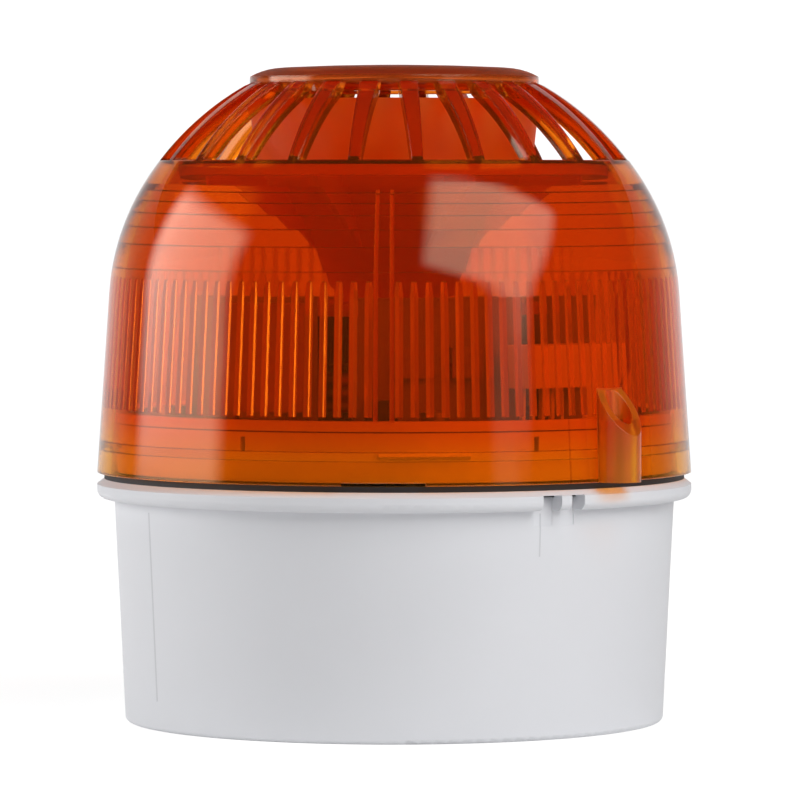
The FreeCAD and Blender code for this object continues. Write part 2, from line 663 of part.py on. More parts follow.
slots = new_sketch(body, "fixing_slots", "XY_Plane")
for side in ("", "-"):
    near = f"{side}(fixing_spacing - fixing_slot_travel) / 2"
    far = f"{side}(fixing_spacing + fixing_slot_travel) / 2"
    bend = f"{side}fixing_slot_width / 2"
    draw(slots, [
        (near, "-fixing_slot_width / 2"),
        (far, "-fixing_slot_width / 2", bend),
        (far, "fixing_slot_width / 2"),
        (near, "fixing_slot_width / 2", bend),
    ])
pocket(body, "fixing_slot_cut", slots, "base_floor", reverse=True)

posts = new_sketch(body, "block_posts", "XY_Plane", "base_floor")
POST_X = "(way_pitch * (way_count - 1) / 2 + block_screw_offset)"
for side in ("", "-"):
    circle(posts, f"{side}{POST_X}", BLOCK_Y, "post_radius")
pad(body, "block_post_pad", posts, "post_height")
holes = new_sketch(body, "block_post_holes", "XY_Plane", BLOCK_LOW)
for side in ("", "-"):
    circle(holes, f"{side}{POST_X}", BLOCK_Y, "board_screw_radius + screw_gap")
pocket(body, "block_post_hole_cut", holes, "post_height * 2 / 3")

notches = []
for name, wide, azimuth in (("wide_notch", "notch_wide", "notch_wide_azimuth"),
                            ("narrow_notch", "notch_narrow", "notch_narrow_azimuth")):
    notches.append(ring_box(name, "notch_reach", wide, "2 * notch_depth", "rim_radius - 0.68 * notch_reach",
                            azimuth, "base_depth - notch_depth"))
keep("base_housing", cut("base_housing", body, notches))

# Head seal: a tongue in the flange groove under a flat band
body = new_body("head_seal")
TONGUE_IN = f"({GROOVE_IN} + seal_fit)"
TONGUE_OUT = f"({GROOVE_OUT} - seal_fit)"
BAND_OUT = "(rim_radius - seal_band_inset)"
BAND_IN = f"({BAND_OUT} - seal_band_width)"
revolve(body, "seal_ring", [
    (TONGUE_IN, f"{GROOVE_LOW} + seal_fit"),
    (TONGUE_OUT, f"{GROOVE_LOW} + seal_fit"),
    (TONGUE_OUT, FLANGE_TOP),
    (BAND_OUT, FLANGE_TOP),
    (BAND_OUT, f"{FLANGE_TOP} + seal_band_thick"),
    (BAND_IN, f"{FLANGE_TOP} + seal_band_thick"),
    (BAND_IN, FLANGE_TOP),
    (TONGUE_IN, FLANGE_TOP),
])
keep("head_seal", body)

# Terminal block on its posts, with clamps, screws and leaf springs
WAYS = [f"(way_pitch * ({way} - (way_count - 1) / 2))" for way in range(count("way_count"))]
CAGE_Y = f"({BLOCK_Y} - block_width / 2 + cage_gap + cage_size / 2 + 1)"
CAGE_LOW = f"({BLOCK_LOW} + cage_floor)"
CLAMP_SEAT = f"({BLOCK_TOP} - clamp_sink - clamp_head_thick)"
SPRING_Y = f"({BLOCK_Y} + spring_back)"

blank = box("block_blank", "way_pitch * (way_count - 1) + 2 * block_end", "block_width", "block_height", "0",
            BLOCK_Y, BLOCK_LOW)
tools = []
cages = []
clamps = []
springs = []
for way, spot in enumerate(WAYS):
    tools.append(box(f"cage_room_{way}", "cage_size + 2 * cage_gap", "cage_size + 2 * cage_gap",
                     "cage_height + 2 * cage_gap", spot, CAGE_Y, f"{CAGE_LOW} - cage_gap"))
    tools.append(rod(f"clamp_room_{way}", "clamp_head + screw_gap", "block_height", spot, CAGE_Y,
                     f"{CAGE_LOW} + cage_height"))
    tools.append(box(f"wire_room_{way}", "2 * wire_radius", "block_width / 2", "2 * wire_radius", spot,
                     f"{BLOCK_Y} - block_width / 2", f"{CAGE_LOW} + cage_height / 3 - wire_radius"))
    tools.append(box(f"spring_room_{way}", "spring_width + 2 * spring_gap", "spring_strip + 2 * spring_gap",
                     "2 * spring_root", spot, SPRING_Y, f"{BLOCK_TOP} - spring_root"))
    cage = box(f"cage_{way}", "cage_size", "cage_size", "cage_height", spot, CAGE_Y, CAGE_LOW)
    wire = box(f"cage_wire_{way}", "2 * wire_radius", "2 * cage_size", "2 * wire_radius", spot, CAGE_Y,
               f"{CAGE_LOW} + cage_height / 3 - wire_radius")
    thread = rod(f"cage_thread_{way}", "clamp_radius + screw_gap", "cage_height", spot, CAGE_Y,
                 f"{CAGE_LOW} + cage_height / 2")
    cages.append(cut(f"clamp_cage_{way}", cage, [wire, thread]))
    clamps.append(screw(f"clamp_screw_{way}", "clamp_radius", f"{CLAMP_SEAT} - {CAGE_LOW} - cage_height / 2",
                        "clamp_head", "clamp_head_thick", spot, CAGE_Y, CLAMP_SEAT))
    leaf = new_body(f"leaf_spring_{way}")
    shape = leaf.newObject("Sketcher::SketchObject", f"leaf_shape_{way}")
    shape.AttachmentSupport = [(origin_of(leaf, "YZ_Plane"), "")]
    shape.MapMode = "FlatFace"
    link(shape, "AttachmentOffset.Base.z", spot)
    OUTER = f"{SPRING_TOP} - spring_bow - spring_strip / 2"
    draw(shape, [
        (f"{SPRING_Y} + spring_strip / 2", f"{BLOCK_TOP} - spring_root + spring_gap"),
        (f"{SPRING_Y} + spring_strip / 2", OUTER, "spring_bow + spring_strip / 2"),
        (f"{SPRING_Y} - 2 * spring_bow - spring_strip / 2", OUTER),
        (f"{SPRING_Y} - 2 * spring_bow + spring_strip / 2", OUTER, "-(spring_bow - spring_strip / 2)"),
        (f"{SPRING_Y} - spring_strip / 2", OUTER),
        (f"{SPRING_Y} - spring_strip / 2", f"{BLOCK_TOP} - spring_root + spring_gap"),
    ])
    strip = pad(leaf, f"leaf_pad_{way}", shape, "spring_width")
    strip.Midplane = True
    springs.append(leaf)
block_screws = []
for side, word in (("", "right"), ("-", "left")):
    tools.append(rod(f"block_hole_{word}", "board_screw_radius + screw_gap", "2 * block_height",
                     f"{side}{POST_X}", BLOCK_Y, f"{BLOCK_LOW} - block_height / 2"))
    tools.append(rod(f"block_sink_{word}", "board_screw_head + screw_gap", "block_height", f"{side}{POST_X}",
                     BLOCK_Y, f"{BLOCK_LOW} + block_height / 2"))
    block_screws.append(screw(f"block_screw_{word}", "board_screw_radius", "block_height / 2 + board_screw_length",
                              "board_screw_head", "board_screw_head_thick", f"{side}{POST_X}", BLOCK_Y,
                              f"{BLOCK_LOW} + block_height / 2"))
keep("terminal_block", cut("terminal_block", blank, tools))
keep("terminal_cages", group("terminal_cages", cages))
keep("terminal_screws", group("terminal_screws", clamps))
keep("contact_springs", group("contact_springs", springs))
keep("block_screws", group("block_screws", block_screws))

# Lens: drafted wall, stepped shoulder and domed crown turned in one profile
INNER_FOOT = "(rim_radius - lens_wall)"
SLIDE = "(lens_draft / shoulder_rise)"
SNAP_LOW = f"({LENS_FOOT} + snap_rise)"
SNAP_TOP = f"({SNAP_LOW} + snap_height)"


def wall_inside(rise):
    """Inner radius of the drafted wall at a height above the lens foot."""
    return f"({INNER_FOOT} - {SLIDE} * ({rise}))"


ledges = []
for step in range(6):
    edge = f"({SHOULDER_R} - step_first - step_drop * {step})"
    level = f"({LOW_Z} + sqrt(shoulder_arc ^ 2 - ({edge} - {LOW_X}) ^ 2))"
    inside = f"({LOW_X} + sqrt((shoulder_arc - lens_wall) ^ 2 - ({level} - {LOW_Z}) ^ 2))"
    ledges.append((inside, level))
profile = [
    ("rim_radius", LENS_FOOT),
    (SHOULDER_R, SHOULDER, "shoulder_arc"),
    (CROWN_R, CROWN_Z, "crown_arc"),
    (ROOT_R, ROOT_Z),
    (CAP_R, CAP_LOW),
    (CAP_R, f"{CAP_LOW} + cap_rim", "cap_shoulder_arc"),
    (CAP_FLAT, f"{CAP_LOW} + cap_rim + cap_shoulder", f"({CAP_FLAT} ^ 2 / cap_crown + cap_crown) / 2"),
    ("0", f"{CAP_LOW} + cap_rim + cap_shoulder + cap_crown"),
    ("0", f"{CAP_LOW} + cap_hollow"),
    (f"{DRIP_R} - drip_wall", CAP_LOW),
    (f"{DRIP_R} - drip_wall", f"{CAP_LOW} - drip_drop"),
    (DRIP_R, f"{CAP_LOW} - drip_drop"),
    (DRIP_R, CAP_LOW),
    (f"{CAP_R} - cap_ledge", CAP_LOW),
    (f"{ROOT_R} - lens_wall * cos(cap_slope)", f"{ROOT_Z} - lens_wall * sin(cap_slope)", "-(crown_arc - lens_wall)"),
    (f"{CROWN_R} - lens_wall * cos(crown_slope)", f"{CROWN_Z} - lens_wall * sin(crown_slope)"),
]
for inside, level in reversed(ledges):
    profile.append((f"{inside} - step_reach", level))
    profile.append((inside, level))
profile += [
    (wall_inside("shoulder_rise"), SHOULDER),
    (wall_inside("snap_rise + snap_height"), SNAP_TOP),
    (f"{wall_inside('snap_rise')} + snap_depth", SNAP_TOP),
    (f"{wall_inside('snap_rise')} + snap_depth", SNAP_LOW),
    (wall_inside("snap_rise"), SNAP_LOW),
    (INNER_FOOT, LENS_FOOT),
]
lens = new_body("lens_shell")
revolve(lens, "lens_section", profile)

# Crown slots: one wedge between two bars, open upwards as far as the cap, repeated round the axis
wedge = new_sketch(lens, "slot_plan", "XY_Plane", SLOT_FLOOR, "lens_turn - 90")
SLOT_OUT = f"({CROWN_R} + slot_outer_run)"
HALF_IN = f"({SLOT_IN} * tan(180 / slot_count) - bar_inner_thick / 2)"
HALF_OUT = f"({SLOT_OUT} * tan(180 / slot_count) - bar_outer_thick / 2)"
draw(wedge, [
    (SLOT_IN, f"-{HALF_IN}"),
    (SLOT_OUT, f"-{HALF_OUT}"),
    (SLOT_OUT, HALF_OUT),
    (SLOT_IN, HALF_IN),
])
slot = pocket(lens, "slot_cut", wedge, f"{CAP_LOW} - {SLOT_FLOOR}", reverse=True)
polar(lens, "slot_ring", [slot], "slot_count")

# Light ribs: one triangular rib laid along the drafted wall, repeated all round but for the clear stripe
RIB_PITCH = "(360 / rib_count)"
RIB_TURN = f"(lens_turn - 90 + {RIB_PITCH})"
tooth = new_sketch(lens, "rib_plan", "XY_Plane", f"{LENS_FOOT} + rib_start", RIB_TURN)
draw(tooth, [
    (f"{wall_inside('rib_start')} - rib_height", "0"),
    (f"{wall_inside('rib_start')} + rib_root", "-rib_width / 2"),
    (f"{wall_inside('rib_start')} + rib_root", "rib_width / 2"),
])
rib = pad(lens, "rib_pad", tooth, "rib_length")
rib.UseCustomVector = True
rib.AlongSketchNormal = True
link(rib, "Direction.x", f"-{SLIDE} * cos({RIB_TURN})")
link(rib, "Direction.y", f"-{SLIDE} * sin({RIB_TURN})")
link(rib, "Direction.z", "1")
polar(lens, "rib_ring", [rib], "rib_count - 1", f"360 - 2 * {RIB_PITCH}")

# Two ridges that frame the clear stripe and run up over the ledges
OUT_ARC = "(shoulder_arc - lens_wall + rib_root)"
IN_ARC = "(shoulder_arc - lens_wall - ridge_height)"
for side in ("left", "right"):
    sign = "-" if side == "left" else "+"
    revolve(lens, f"ridge_{side}", [
        (f"{wall_inside('rib_start - ridge_height')} - ridge_height", f"{LENS_FOOT} + rib_start - ridge_height"),
        (f"{wall_inside('rib_start - ridge_height')} + rib_root", f"{LENS_FOOT} + rib_start - ridge_height"),
        (f"{LOW_X} + {OUT_ARC} * cos({DRAFT})", f"{LOW_Z} + {OUT_ARC} * sin({DRAFT})", OUT_ARC),
        (f"{LOW_X} + {OUT_ARC} * cos(ridge_top)", f"{LOW_Z} + {OUT_ARC} * sin(ridge_top)"),
        (f"{LOW_X} + {IN_ARC} * cos(ridge_top)", f"{LOW_Z} + {IN_ARC} * sin(ridge_top)", f"-{IN_ARC}"),
        (f"{LOW_X} + {IN_ARC} * cos({DRAFT})", f"{LOW_Z} + {IN_ARC} * sin({DRAFT})"),
    ], "ridge_angle", f"(lens_turn {sign} ridge_offset)")

# Tool tube: an upright tube on the wall with a slanted mouth
TUBE_FOOT = f"({LENS_FOOT} - tube_drop)"
TUBE_R = "(rim_radius + tube_offset)"
stem = ring_rod("tube_stem", "tube_radius", "tube_drop + tube_high", TUBE_R, "tube_azimuth", TUBE_FOOT)
SLANT = "atan((tube_high - tube_low) / (2 * tube_radius))"
slant = new_body("tube_slant")
face = slant.newObject("Sketcher::SketchObject", "slant_face")
face.AttachmentSupport = [(origin_of(slant, "XZ_Plane"), "")]
face.MapMode = "FlatFace"
draw(face, [
    (f"{TUBE_R} - tube_radius", f"{LENS_FOOT} + tube_high"),
    (f"{TUBE_R} + tube_radius", f"{LENS_FOOT} + tube_low"),
    (f"{TUBE_R} + 2 * tube_radius", f"{LENS_FOOT} + tube_low"),
    (f"{TUBE_R} + 2 * tube_radius", f"{LENS_FOOT} + tube_high + tube_radius"),
    (f"{TUBE_R} - tube_radius", f"{LENS_FOOT} + tube_high + tube_radius"),
])
wedge_pad = pad(slant, "slant_pad", face, "4 * tube_radius")
wedge_pad.Midplane = True
slant.Placement = FreeCAD.Placement(Vector(0, 0, 0), FreeCAD.Rotation(Vector(0, 0, 1), 45))
link(slant, "Placement.Rotation.Angle", "tube_azimuth - 90")
tube = cut("tool_tube", stem, [slant])
bore = ring_rod("tube_bore_room", "tube_bore", "tube_drop + tube_high", TUBE_R, "tube_azimuth",
                f"{TUBE_FOOT} - tube_bore")
pry = ring_box("pry_notch", "4 * lens_wall", "pry_width", "2 * pry_height", "rim_radius - 2 * lens_wall", "lens_turn",
               f"{LENS_FOOT} - pry_height")
keep("lens", cut("lens", fuse("lens_with_tube", [lens, tube]), [bore, pry]))

# Chassis: ring inside the lens foot, deck, and the bayonet skirt that reaches into the base
RING_LOW = f"({LENS_FOOT} + chassis_lift)"
RING_TOP = f"({LENS_FOOT} + chassis_ring_rise)"
chassis = new_body("chassis_shell")
revolve(chassis, "chassis_section", [
    ("0", DECK_LOW),
    (f"{SKIRT_OUT} - skirt_wall", DECK_LOW),
    (f"{SKIRT_OUT} - skirt_wall", HEAD_LUG_LOW),
    (SKIRT_OUT, HEAD_LUG_LOW),
    (SKIRT_OUT, DECK_LOW),
    (RING_IN, DECK_LOW),
    (RING_IN, RING_LOW),
    (CHASSIS_OUT, RING_LOW),
    (CHASSIS_OUT, RING_TOP),
    (RING_IN, RING_TOP),
    (RING_IN, DECK_TOP),
    ("0", DECK_TOP),
])
HEAD_LUG_R = f"({BASE_FOOT} + base_draft * {HEAD_LUG_LOW} / base_depth" \
             " - base_wall - bayonet_gap)"
head_lug = revolve(chassis, "head_lug", [
    (f"{SKIRT_OUT} - skirt_wall / 2", HEAD_LUG_LOW),
    (HEAD_LUG_R, HEAD_LUG_LOW),
    (HEAD_LUG_R, HEAD_LUG_TOP),
    (f"{SKIRT_OUT} - skirt_wall / 2", HEAD_LUG_TOP),
], "head_lug_angle", "90 - lug_angle / 2 + lug_stop_angle + lug_stop_gap + head_lug_angle / 2")
polar(chassis, "head_lugs", [head_lug], "lug_count")
bead = revolve(chassis, "snap_bead", [
    (f"{CHASSIS_OUT} - chassis_ring_wall / 2", f"{SNAP_LOW} + snap_gap"),
    (CHASSIS_OUT, f"{SNAP_LOW} + snap_gap"),
    (f"{CHASSIS_OUT} + snap_reach", f"{SNAP_TOP} - snap_height / 2"),
    (CHASSIS_OUT, f"{SNAP_TOP} - snap_gap"),
    (f"{CHASSIS_OUT} - chassis_ring_wall / 2", f"{SNAP_TOP} - snap_gap"),
], "snap_angle", "6")
polar(chassis, "snap_beads", [bead], "snap_count")

slit = new_sketch(chassis, "ring_slit_plan", "XY_Plane", f"{RING_TOP} - ring_slit_drop", "ring_slit_azimuth - 90")
draw(slit, [
    (f"{RING_IN} - ring_slit_width", "-ring_slit_width / 2"),
    (f"{CHASSIS_OUT} + 2 * snap_reach", "-ring_slit_width / 2"),
    (f"{CHASSIS_OUT} + 2 * snap_reach", "ring_slit_width / 2"),
    (f"{RING_IN} - ring_slit_width", "ring_slit_width / 2"),
])
slit_cut = pocket(chassis, "ring_slit_cut", slit, "ring_slit_depth")
polar(chassis, "ring_slits", [slit_cut], "ring_slit_count")

SWITCH_LONG = "(5 * switch_pitch + 2 * switch_margin)"
windows = new_sketch(chassis, "deck_windows", "XY_Plane", DECK_TOP)
for middle_x, middle_y, wide, deep in (
        ("switch_x", "switch_y", f"({SWITCH_LONG} / 2 + window_gap)", "(switch_width / 2 + window_gap)"),
        ("volume_x", "volume_y", "(volume_size / 2 + window_gap)", "(volume_size / 2 + window_gap)")):
    draw(windows, [
        (f"{middle_x} - {wide}", f"{middle_y} - {deep}"),
        (f"{middle_x} + {wide}", f"{middle_y} - {deep}"),
        (f"{middle_x} + {wide}", f"{middle_y} + {deep}"),
        (f"{middle_x} - {wide}", f"{middle_y} + {deep}"),
    ])
pocket(chassis, "deck_window_cut", windows, "deck_thick")

pins = new_sketch(chassis, "pad_pin_holes", "XY_Plane", DECK_TOP)
for spot in WAYS:
    circle(pins, spot, f"{SPRING_Y} - spring_bow", "pad_pin + screw_gap")
pocket(chassis, "pad_pin_cut", pins, "deck_thick")

SCREW_AZIMUTHS = [f"(board_screw_azimuth + 360 / board_screw_count * {turn})"
                  for turn in range(count("board_screw_count"))]
posts = new_sketch(chassis, "board_posts", "XY_Plane", DECK_TOP)
for azimuth in SCREW_AZIMUTHS:
    circle(posts, f"{SCREW_RING} * sin({azimuth})", f"-{SCREW_RING} * cos({azimuth})", "board_post_radius")
pad(chassis, "board_post_pad", posts, "board_standoff")
holes = new_sketch(chassis, "board_post_holes", "XY_Plane", BOARD_LOW)
for azimuth in SCREW_AZIMUTHS:
    circle(holes, f"{SCREW_RING} * sin({azimuth})", f"-{SCREW_RING} * cos({azimuth})",
           "board_screw_radius + screw_gap")
pocket(chassis, "board_post_hole_cut", holes, "board_screw_length - board_thick + screw_gap")
keep("chassis", chassis)

# Main board with its screws
blank = rod("board_blank", BOARD_R, "board_thick", "0", "0", BOARD_LOW)
tools = []
screws = []
for turn, azimuth in enumerate(SCREW_AZIMUTHS):
    tools.append(ring_rod(f"board_hole_{turn}", "board_screw_radius + screw_gap", "3 * board_thick",
                          SCREW_RING, azimuth, f"{BOARD_LOW} - board_thick"))
    screws.append(screw(f"board_screw_{turn}", "board_screw_radius", "board_screw_length", "board_screw_head",
                        "board_screw_head_thick", f"{SCREW_RING} * sin({azimuth})",
                        f"-{SCREW_RING} * cos({azimuth})", BOARD_TOP))
keep("main_board", cut("main_board", blank, tools))
keep("board_screws", group("board_screws", screws))

# Driver housing: the closed cup behind the sounding plate, with three screw bosses
driver = new_body("driver_shell")
revolve(driver, "driver_cup", [
    ("0", BOARD_TOP),
    (DRIVER_R, BOARD_TOP),
    (DRIVER_R, HORN_FOOT),
    (f"{PLATE_R} + plate_gap", HORN_FOOT),
    (f"{PLATE_R} + plate_gap", PLATE_SEAT),
    (f"{DRIVER_R} - driver_wall", PLATE_SEAT),
    (f"{DRIVER_R} - driver_wall", f"{BOARD_TOP} + driver_floor"),
    ("0", f"{BOARD_TOP} + driver_floor"),
])
DRIVER_AZIMUTHS = [f"(driver_screw_azimuth + 360 / driver_screw_count * {turn})" for turn in range(count("driver_screw_count"))]
bosses = []
tools = []
screws = []
horn_holes = []
for turn, azimuth in enumerate(DRIVER_AZIMUTHS):
    bosses.append(ring_rod(f"driver_boss_{turn}", "driver_boss_radius", f"{HORN_FOOT} - {BOARD_TOP}",
                           DRIVER_RING, azimuth, BOARD_TOP))
    tools.append(ring_rod(f"driver_hole_{turn}", "board_screw_radius + screw_gap", "2 * board_screw_length",
                          DRIVER_RING, azimuth, f"{HORN_FOOT} - board_screw_length"))
    horn_holes.append(ring_rod(f"horn_hole_{turn}", "board_screw_radius + screw_gap", "3 * horn_foot_thick",
                               DRIVER_RING, azimuth, f"{HORN_FOOT} - horn_foot_thick"))
    screws.append(screw(f"driver_screw_{turn}", "board_screw_radius", "board_screw_length", "board_screw_head",
                        "board_screw_head_thick", f"{DRIVER_RING} * sin({azimuth})",
                        f"-{DRIVER_RING} * cos({azimuth})", HORN_FOOT_TOP))
room = rod("driver_room", f"{DRIVER_R} - driver_wall", "2 * driver_height", "0", "0",
           f"{BOARD_TOP} + driver_floor")
seat = rod("plate_room", f"{PLATE_R} + plate_gap", "driver_height", "0", "0", PLATE_SEAT)
bossed = cut("driver_bosses", fuse("driver_boss_set", bosses), [room, seat])
keep("driver_housing", cut("driver_housing", fuse("driver_blank", [driver, bossed]), tools))
keep("driver_screws", group("driver_screws", screws))
keep("piezo_plate", rod("piezo_plate", PLATE_R, "plate_thick", "0", "0", PLATE_SEAT))
keep("piezo_ceramic", rod("piezo_ceramic", f"{PLATE_R} - ceramic_inset", "ceramic_thick", "0", "0",
                          f"{PLATE_SEAT} - ceramic_thick"))

# Sound horn: throat, cone, flare under the crown, and the ledge that carries the black ring
LIP_Z = f"({CAP_LOW} - horn_lip_drop)"
LIP_R = f"({ROOT_R} - horn_lip_inset)"
NECK_R = f"({LIP_R} - horn_flare)"
SEAL_TOP = f"({LEDGE_TOP} + horn_seal_thick)"
LEDGE_R = f"({TOP_X} + sqrt((crown_arc - lens_wall) ^ 2 - ({SEAL_TOP} - {TOP_Z}) ^ 2) - horn_ledge_gap)"
horn = new_body("horn_shell")
revolve(horn, "horn_section", [
    ("horn_throat_radius", f"{HORN_FOOT} + horn_chamber_depth"),
    (f"{PLATE_R} - horn_chamber_inset", f"{HORN_FOOT} + horn_chamber_depth"),
    (f"{PLATE_R} - horn_chamber_inset", HORN_FOOT),
    (f"{DRIVER_RING} + horn_foot_margin", HORN_FOOT),
    (f"{DRIVER_RING} + horn_foot_margin", HORN_FOOT_TOP),
    ("horn_throat_radius + horn_wall", HORN_FOOT_TOP),
    (NECK_R, LEDGE_LOW),
    (LEDGE_R, LEDGE_LOW),
    (LEDGE_R, LEDGE_TOP),
    (NECK_R, LEDGE_TOP),
    (LIP_R, LIP_Z),
    (f"{LIP_R} - horn_wall", LIP_Z),
    (f"{NECK_R} - horn_wall", LEDGE_LOW),
    ("horn_throat_radius", f"{HORN_FOOT_TOP} + horn_wall"),
])
CONE_FOOT = f"({NECK_R} - ({NECK_R} - horn_throat_radius - horn_wall) * fin_drop / ({LEDGE_LOW} - {HORN_FOOT_TOP}))"
fin = revolve(horn, "horn_fin", [
    (f"{NECK_R} - horn_wall / 2", f"{LEDGE_LOW} + horn_ledge_thick / 2"),
    (f"{CONE_FOOT} - horn_wall / 2", f"{LEDGE_LOW} - fin_drop"),
    (f"{LEDGE_R} - fin_inset", f"{LEDGE_LOW} - fin_edge"),
    (f"{LEDGE_R} - fin_inset", f"{LEDGE_LOW} + horn_ledge_thick / 2"),
], "fin_angle", "fin_azimuth")
polar(horn, "horn_fins", [fin], "fin_count")
keep("sound_horn", cut("sound_horn", horn, horn_holes))

# Black ring between the horn's ledge and the lens
body = new_body("horn_seal")
revolve(body, "horn_ring", [
    (f"{LEDGE_R} - horn_seal_width", LEDGE_TOP),
    (LEDGE_R, LEDGE_TOP),
    (f"{LEDGE_R} - horn_seal_thick / 2", SEAL_TOP),
    (f"{LEDGE_R} - horn_seal_width", SEAL_TOP),
])
keep("horn_seal", body)

# Six upright light boards with two lamps each
boards = []
lamps = []
for turn in range(count("light_count")):
    azimuth = f"(light_azimuth + 360 / light_count * {turn})"
    boards.append(ring_box(f"light_board_{turn}", "light_thick", "light_width", "light_height", LIGHT_IN,
                           azimuth, BOARD_TOP))
    for place, slide in (("left", "-lamp_pitch / 2"), ("right", "lamp_pitch / 2")):
        lamps.append(ring_box(f"lamp_{turn}_{place}", "lamp_thick", "lamp_size", "lamp_size",
                              f"{LIGHT_IN} + light_thick", azimuth,
                              f"{BOARD_TOP} + lamp_rise - lamp_size / 2", slide))
keep("led_boards", group("led_boards", boards))
keep("leds", group("leds", lamps))

# Capacitors: two crimped cans on the board
cans = []
for turn in range(2):
    azimuth = f"(capacitor_azimuth + capacitor_step * {turn})"
    can = new_body(f"capacitor_{turn}")
    revolve(can, f"can_section_{turn}", [
        ("0", "0"),
        ("capacitor_radius", "0"),
        ("capacitor_radius", "capacitor_groove * 2"),
        ("capacitor_radius - capacitor_groove", "capacitor_groove * 3"),
        ("capacitor_radius", "capacitor_groove * 4"),
        ("capacitor_radius", "capacitor_height - capacitor_groove"),
        ("capacitor_radius - capacitor_groove", "capacitor_height"),
        ("0", "capacitor_height"),
    ])
    link(can, "Placement.Base.x", f"{PART_RING} * sin({azimuth})")
    link(can, "Placement.Base.y", f"-{PART_RING} * cos({azimuth})")
    link(can, "Placement.Base.z", BOARD_TOP)
    cans.append(can)
keep("capacitors", group("capacitors", cans))

# Choke: drum core and its winding
core = new_body("choke_core")
revolve(core, "core_section", [
    ("0", "0"),
    ("choke_radius", "0"),
    ("choke_radius", "choke_flange"),
    ("choke_neck", "choke_flange"),
    ("choke_neck", "choke_height - choke_flange"),
    ("choke_radius", "choke_height - choke_flange"),
    ("choke_radius", "choke_height"),
    ("0", "choke_height"),
])
winding = new_body("choke_winding")
revolve(winding, "winding_section", [
    ("choke_neck + choke_wire_gap", "choke_flange + choke_wire_gap"),
    ("choke_radius - choke_wire_depth", "choke_flange + choke_wire_gap"),
    ("choke_radius - choke_wire_depth", "choke_height - choke_flange - choke_wire_gap"),
    ("choke_neck + choke_wire_gap", "choke_height - choke_flange - choke_wire_gap"),
])
for piece in (core, winding):
    link(piece, "Placement.Base.x", f"{PART_RING} * sin(choke_azimuth)")
    link(piece, "Placement.Base.y", f"-{PART_RING} * cos(choke_azimuth)")
    link(piece, "Placement.Base.z", BOARD_TOP)
keep("choke_core", core)
keep("choke_winding", winding)

# Control chip under the board, with a row of legs on each side
CHIP_Y = f"(chip_inset - {BOARD_R})"
pieces = [box("chip_body", "chip_size", "chip_size", "chip_thick", "chip_x", CHIP_Y, f"{BOARD_LOW} - chip_thick")]
for leg in range(6):
    pieces.append(box(f"chip_leg_{leg}", "chip_size + 2 * chip_leg_reach", "chip_leg_width", "chip_leg_width", "chip_x",
                      f"({CHIP_Y} + chip_leg_pitch * ({leg} - 2.5))", f"{BOARD_LOW} - chip_leg_width"))
keep("control_chip", fuse("control_chip", pieces))

# Parts on the rim of the board: link connector on its foot and pins, relay on its pins, and fuse
PLUG_START = f"({BOARD_R} - connector_inset)"
pieces = [
    ring_box("connector_body", "connector_depth", "connector_width", "connector_height", PLUG_START,
             "connector_azimuth", f"{BOARD_TOP} + connector_lift"),
    ring_box("connector_foot_block", "connector_depth", "connector_foot", "connector_lift", PLUG_START,
             "connector_azimuth", BOARD_TOP, "(connector_width - connector_foot) / 2"),
]
for pin in range(5):
    pieces.append(ring_box(f"connector_pin_{pin}", "pin_size", "pin_size", "connector_lift",
                           f"{PLUG_START} + connector_depth / 2", "connector_azimuth", BOARD_TOP,
                           f"(connector_pitch * ({pin} + 0.5) - connector_width / 2)"))
keep("link_connector", fuse("link_connector", pieces))
RELAY_START = f"({BOARD_R} - relay_inset)"
pieces = [ring_box("relay_body", "relay_depth", "relay_width", "relay_height", RELAY_START, "relay_azimuth",
                   f"{BOARD_TOP} + relay_lift")]
for side, slide in (("left", "-relay_pitch / 2"), ("right", "relay_pitch / 2")):
    pieces.append(ring_box(f"relay_pin_{side}", "pin_size", "pin_size", "relay_lift",
                           f"{RELAY_START} + relay_depth / 2", "relay_azimuth", BOARD_TOP, slide))
keep("relay", fuse("relay", pieces))
keep("board_fuse", ring_box("board_fuse", "fuse_depth", "fuse_width", "fuse_height", f"{BOARD_R} - fuse_inset",
                            "fuse_azimuth", BOARD_TOP))

# Tone switches: a body under the board with five sliders in their own slots
SWITCH_FACE = f"({BOARD_LOW} - switch_height)"
blank = box("switch_blank", SWITCH_LONG, "switch_width", "switch_height", "switch_x", "switch_y", SWITCH_FACE)
tools = []
for way in range(5):
    spot = f"(switch_x + switch_pitch * ({way} - 2))"
    tools.append(box(f"switch_slot_{way}", "slider_width + 2 * slider_gap",
                     "slider_length + slider_travel + 2 * slider_gap",
                     "2 * (slider_height - slider_proud + slider_gap)", spot, "switch_y",
                     f"{SWITCH_FACE} - (slider_height - slider_proud + slider_gap)"))
    keep(f"switch_slider_{way + 1}", box(f"switch_slider_{way + 1}", "slider_width", "slider_length", "slider_height",
                                         spot, "(switch_y - slider_travel / 2)", f"{SWITCH_FACE} - slider_proud"))
keep("switch_body", cut("switch_body", blank, tools))

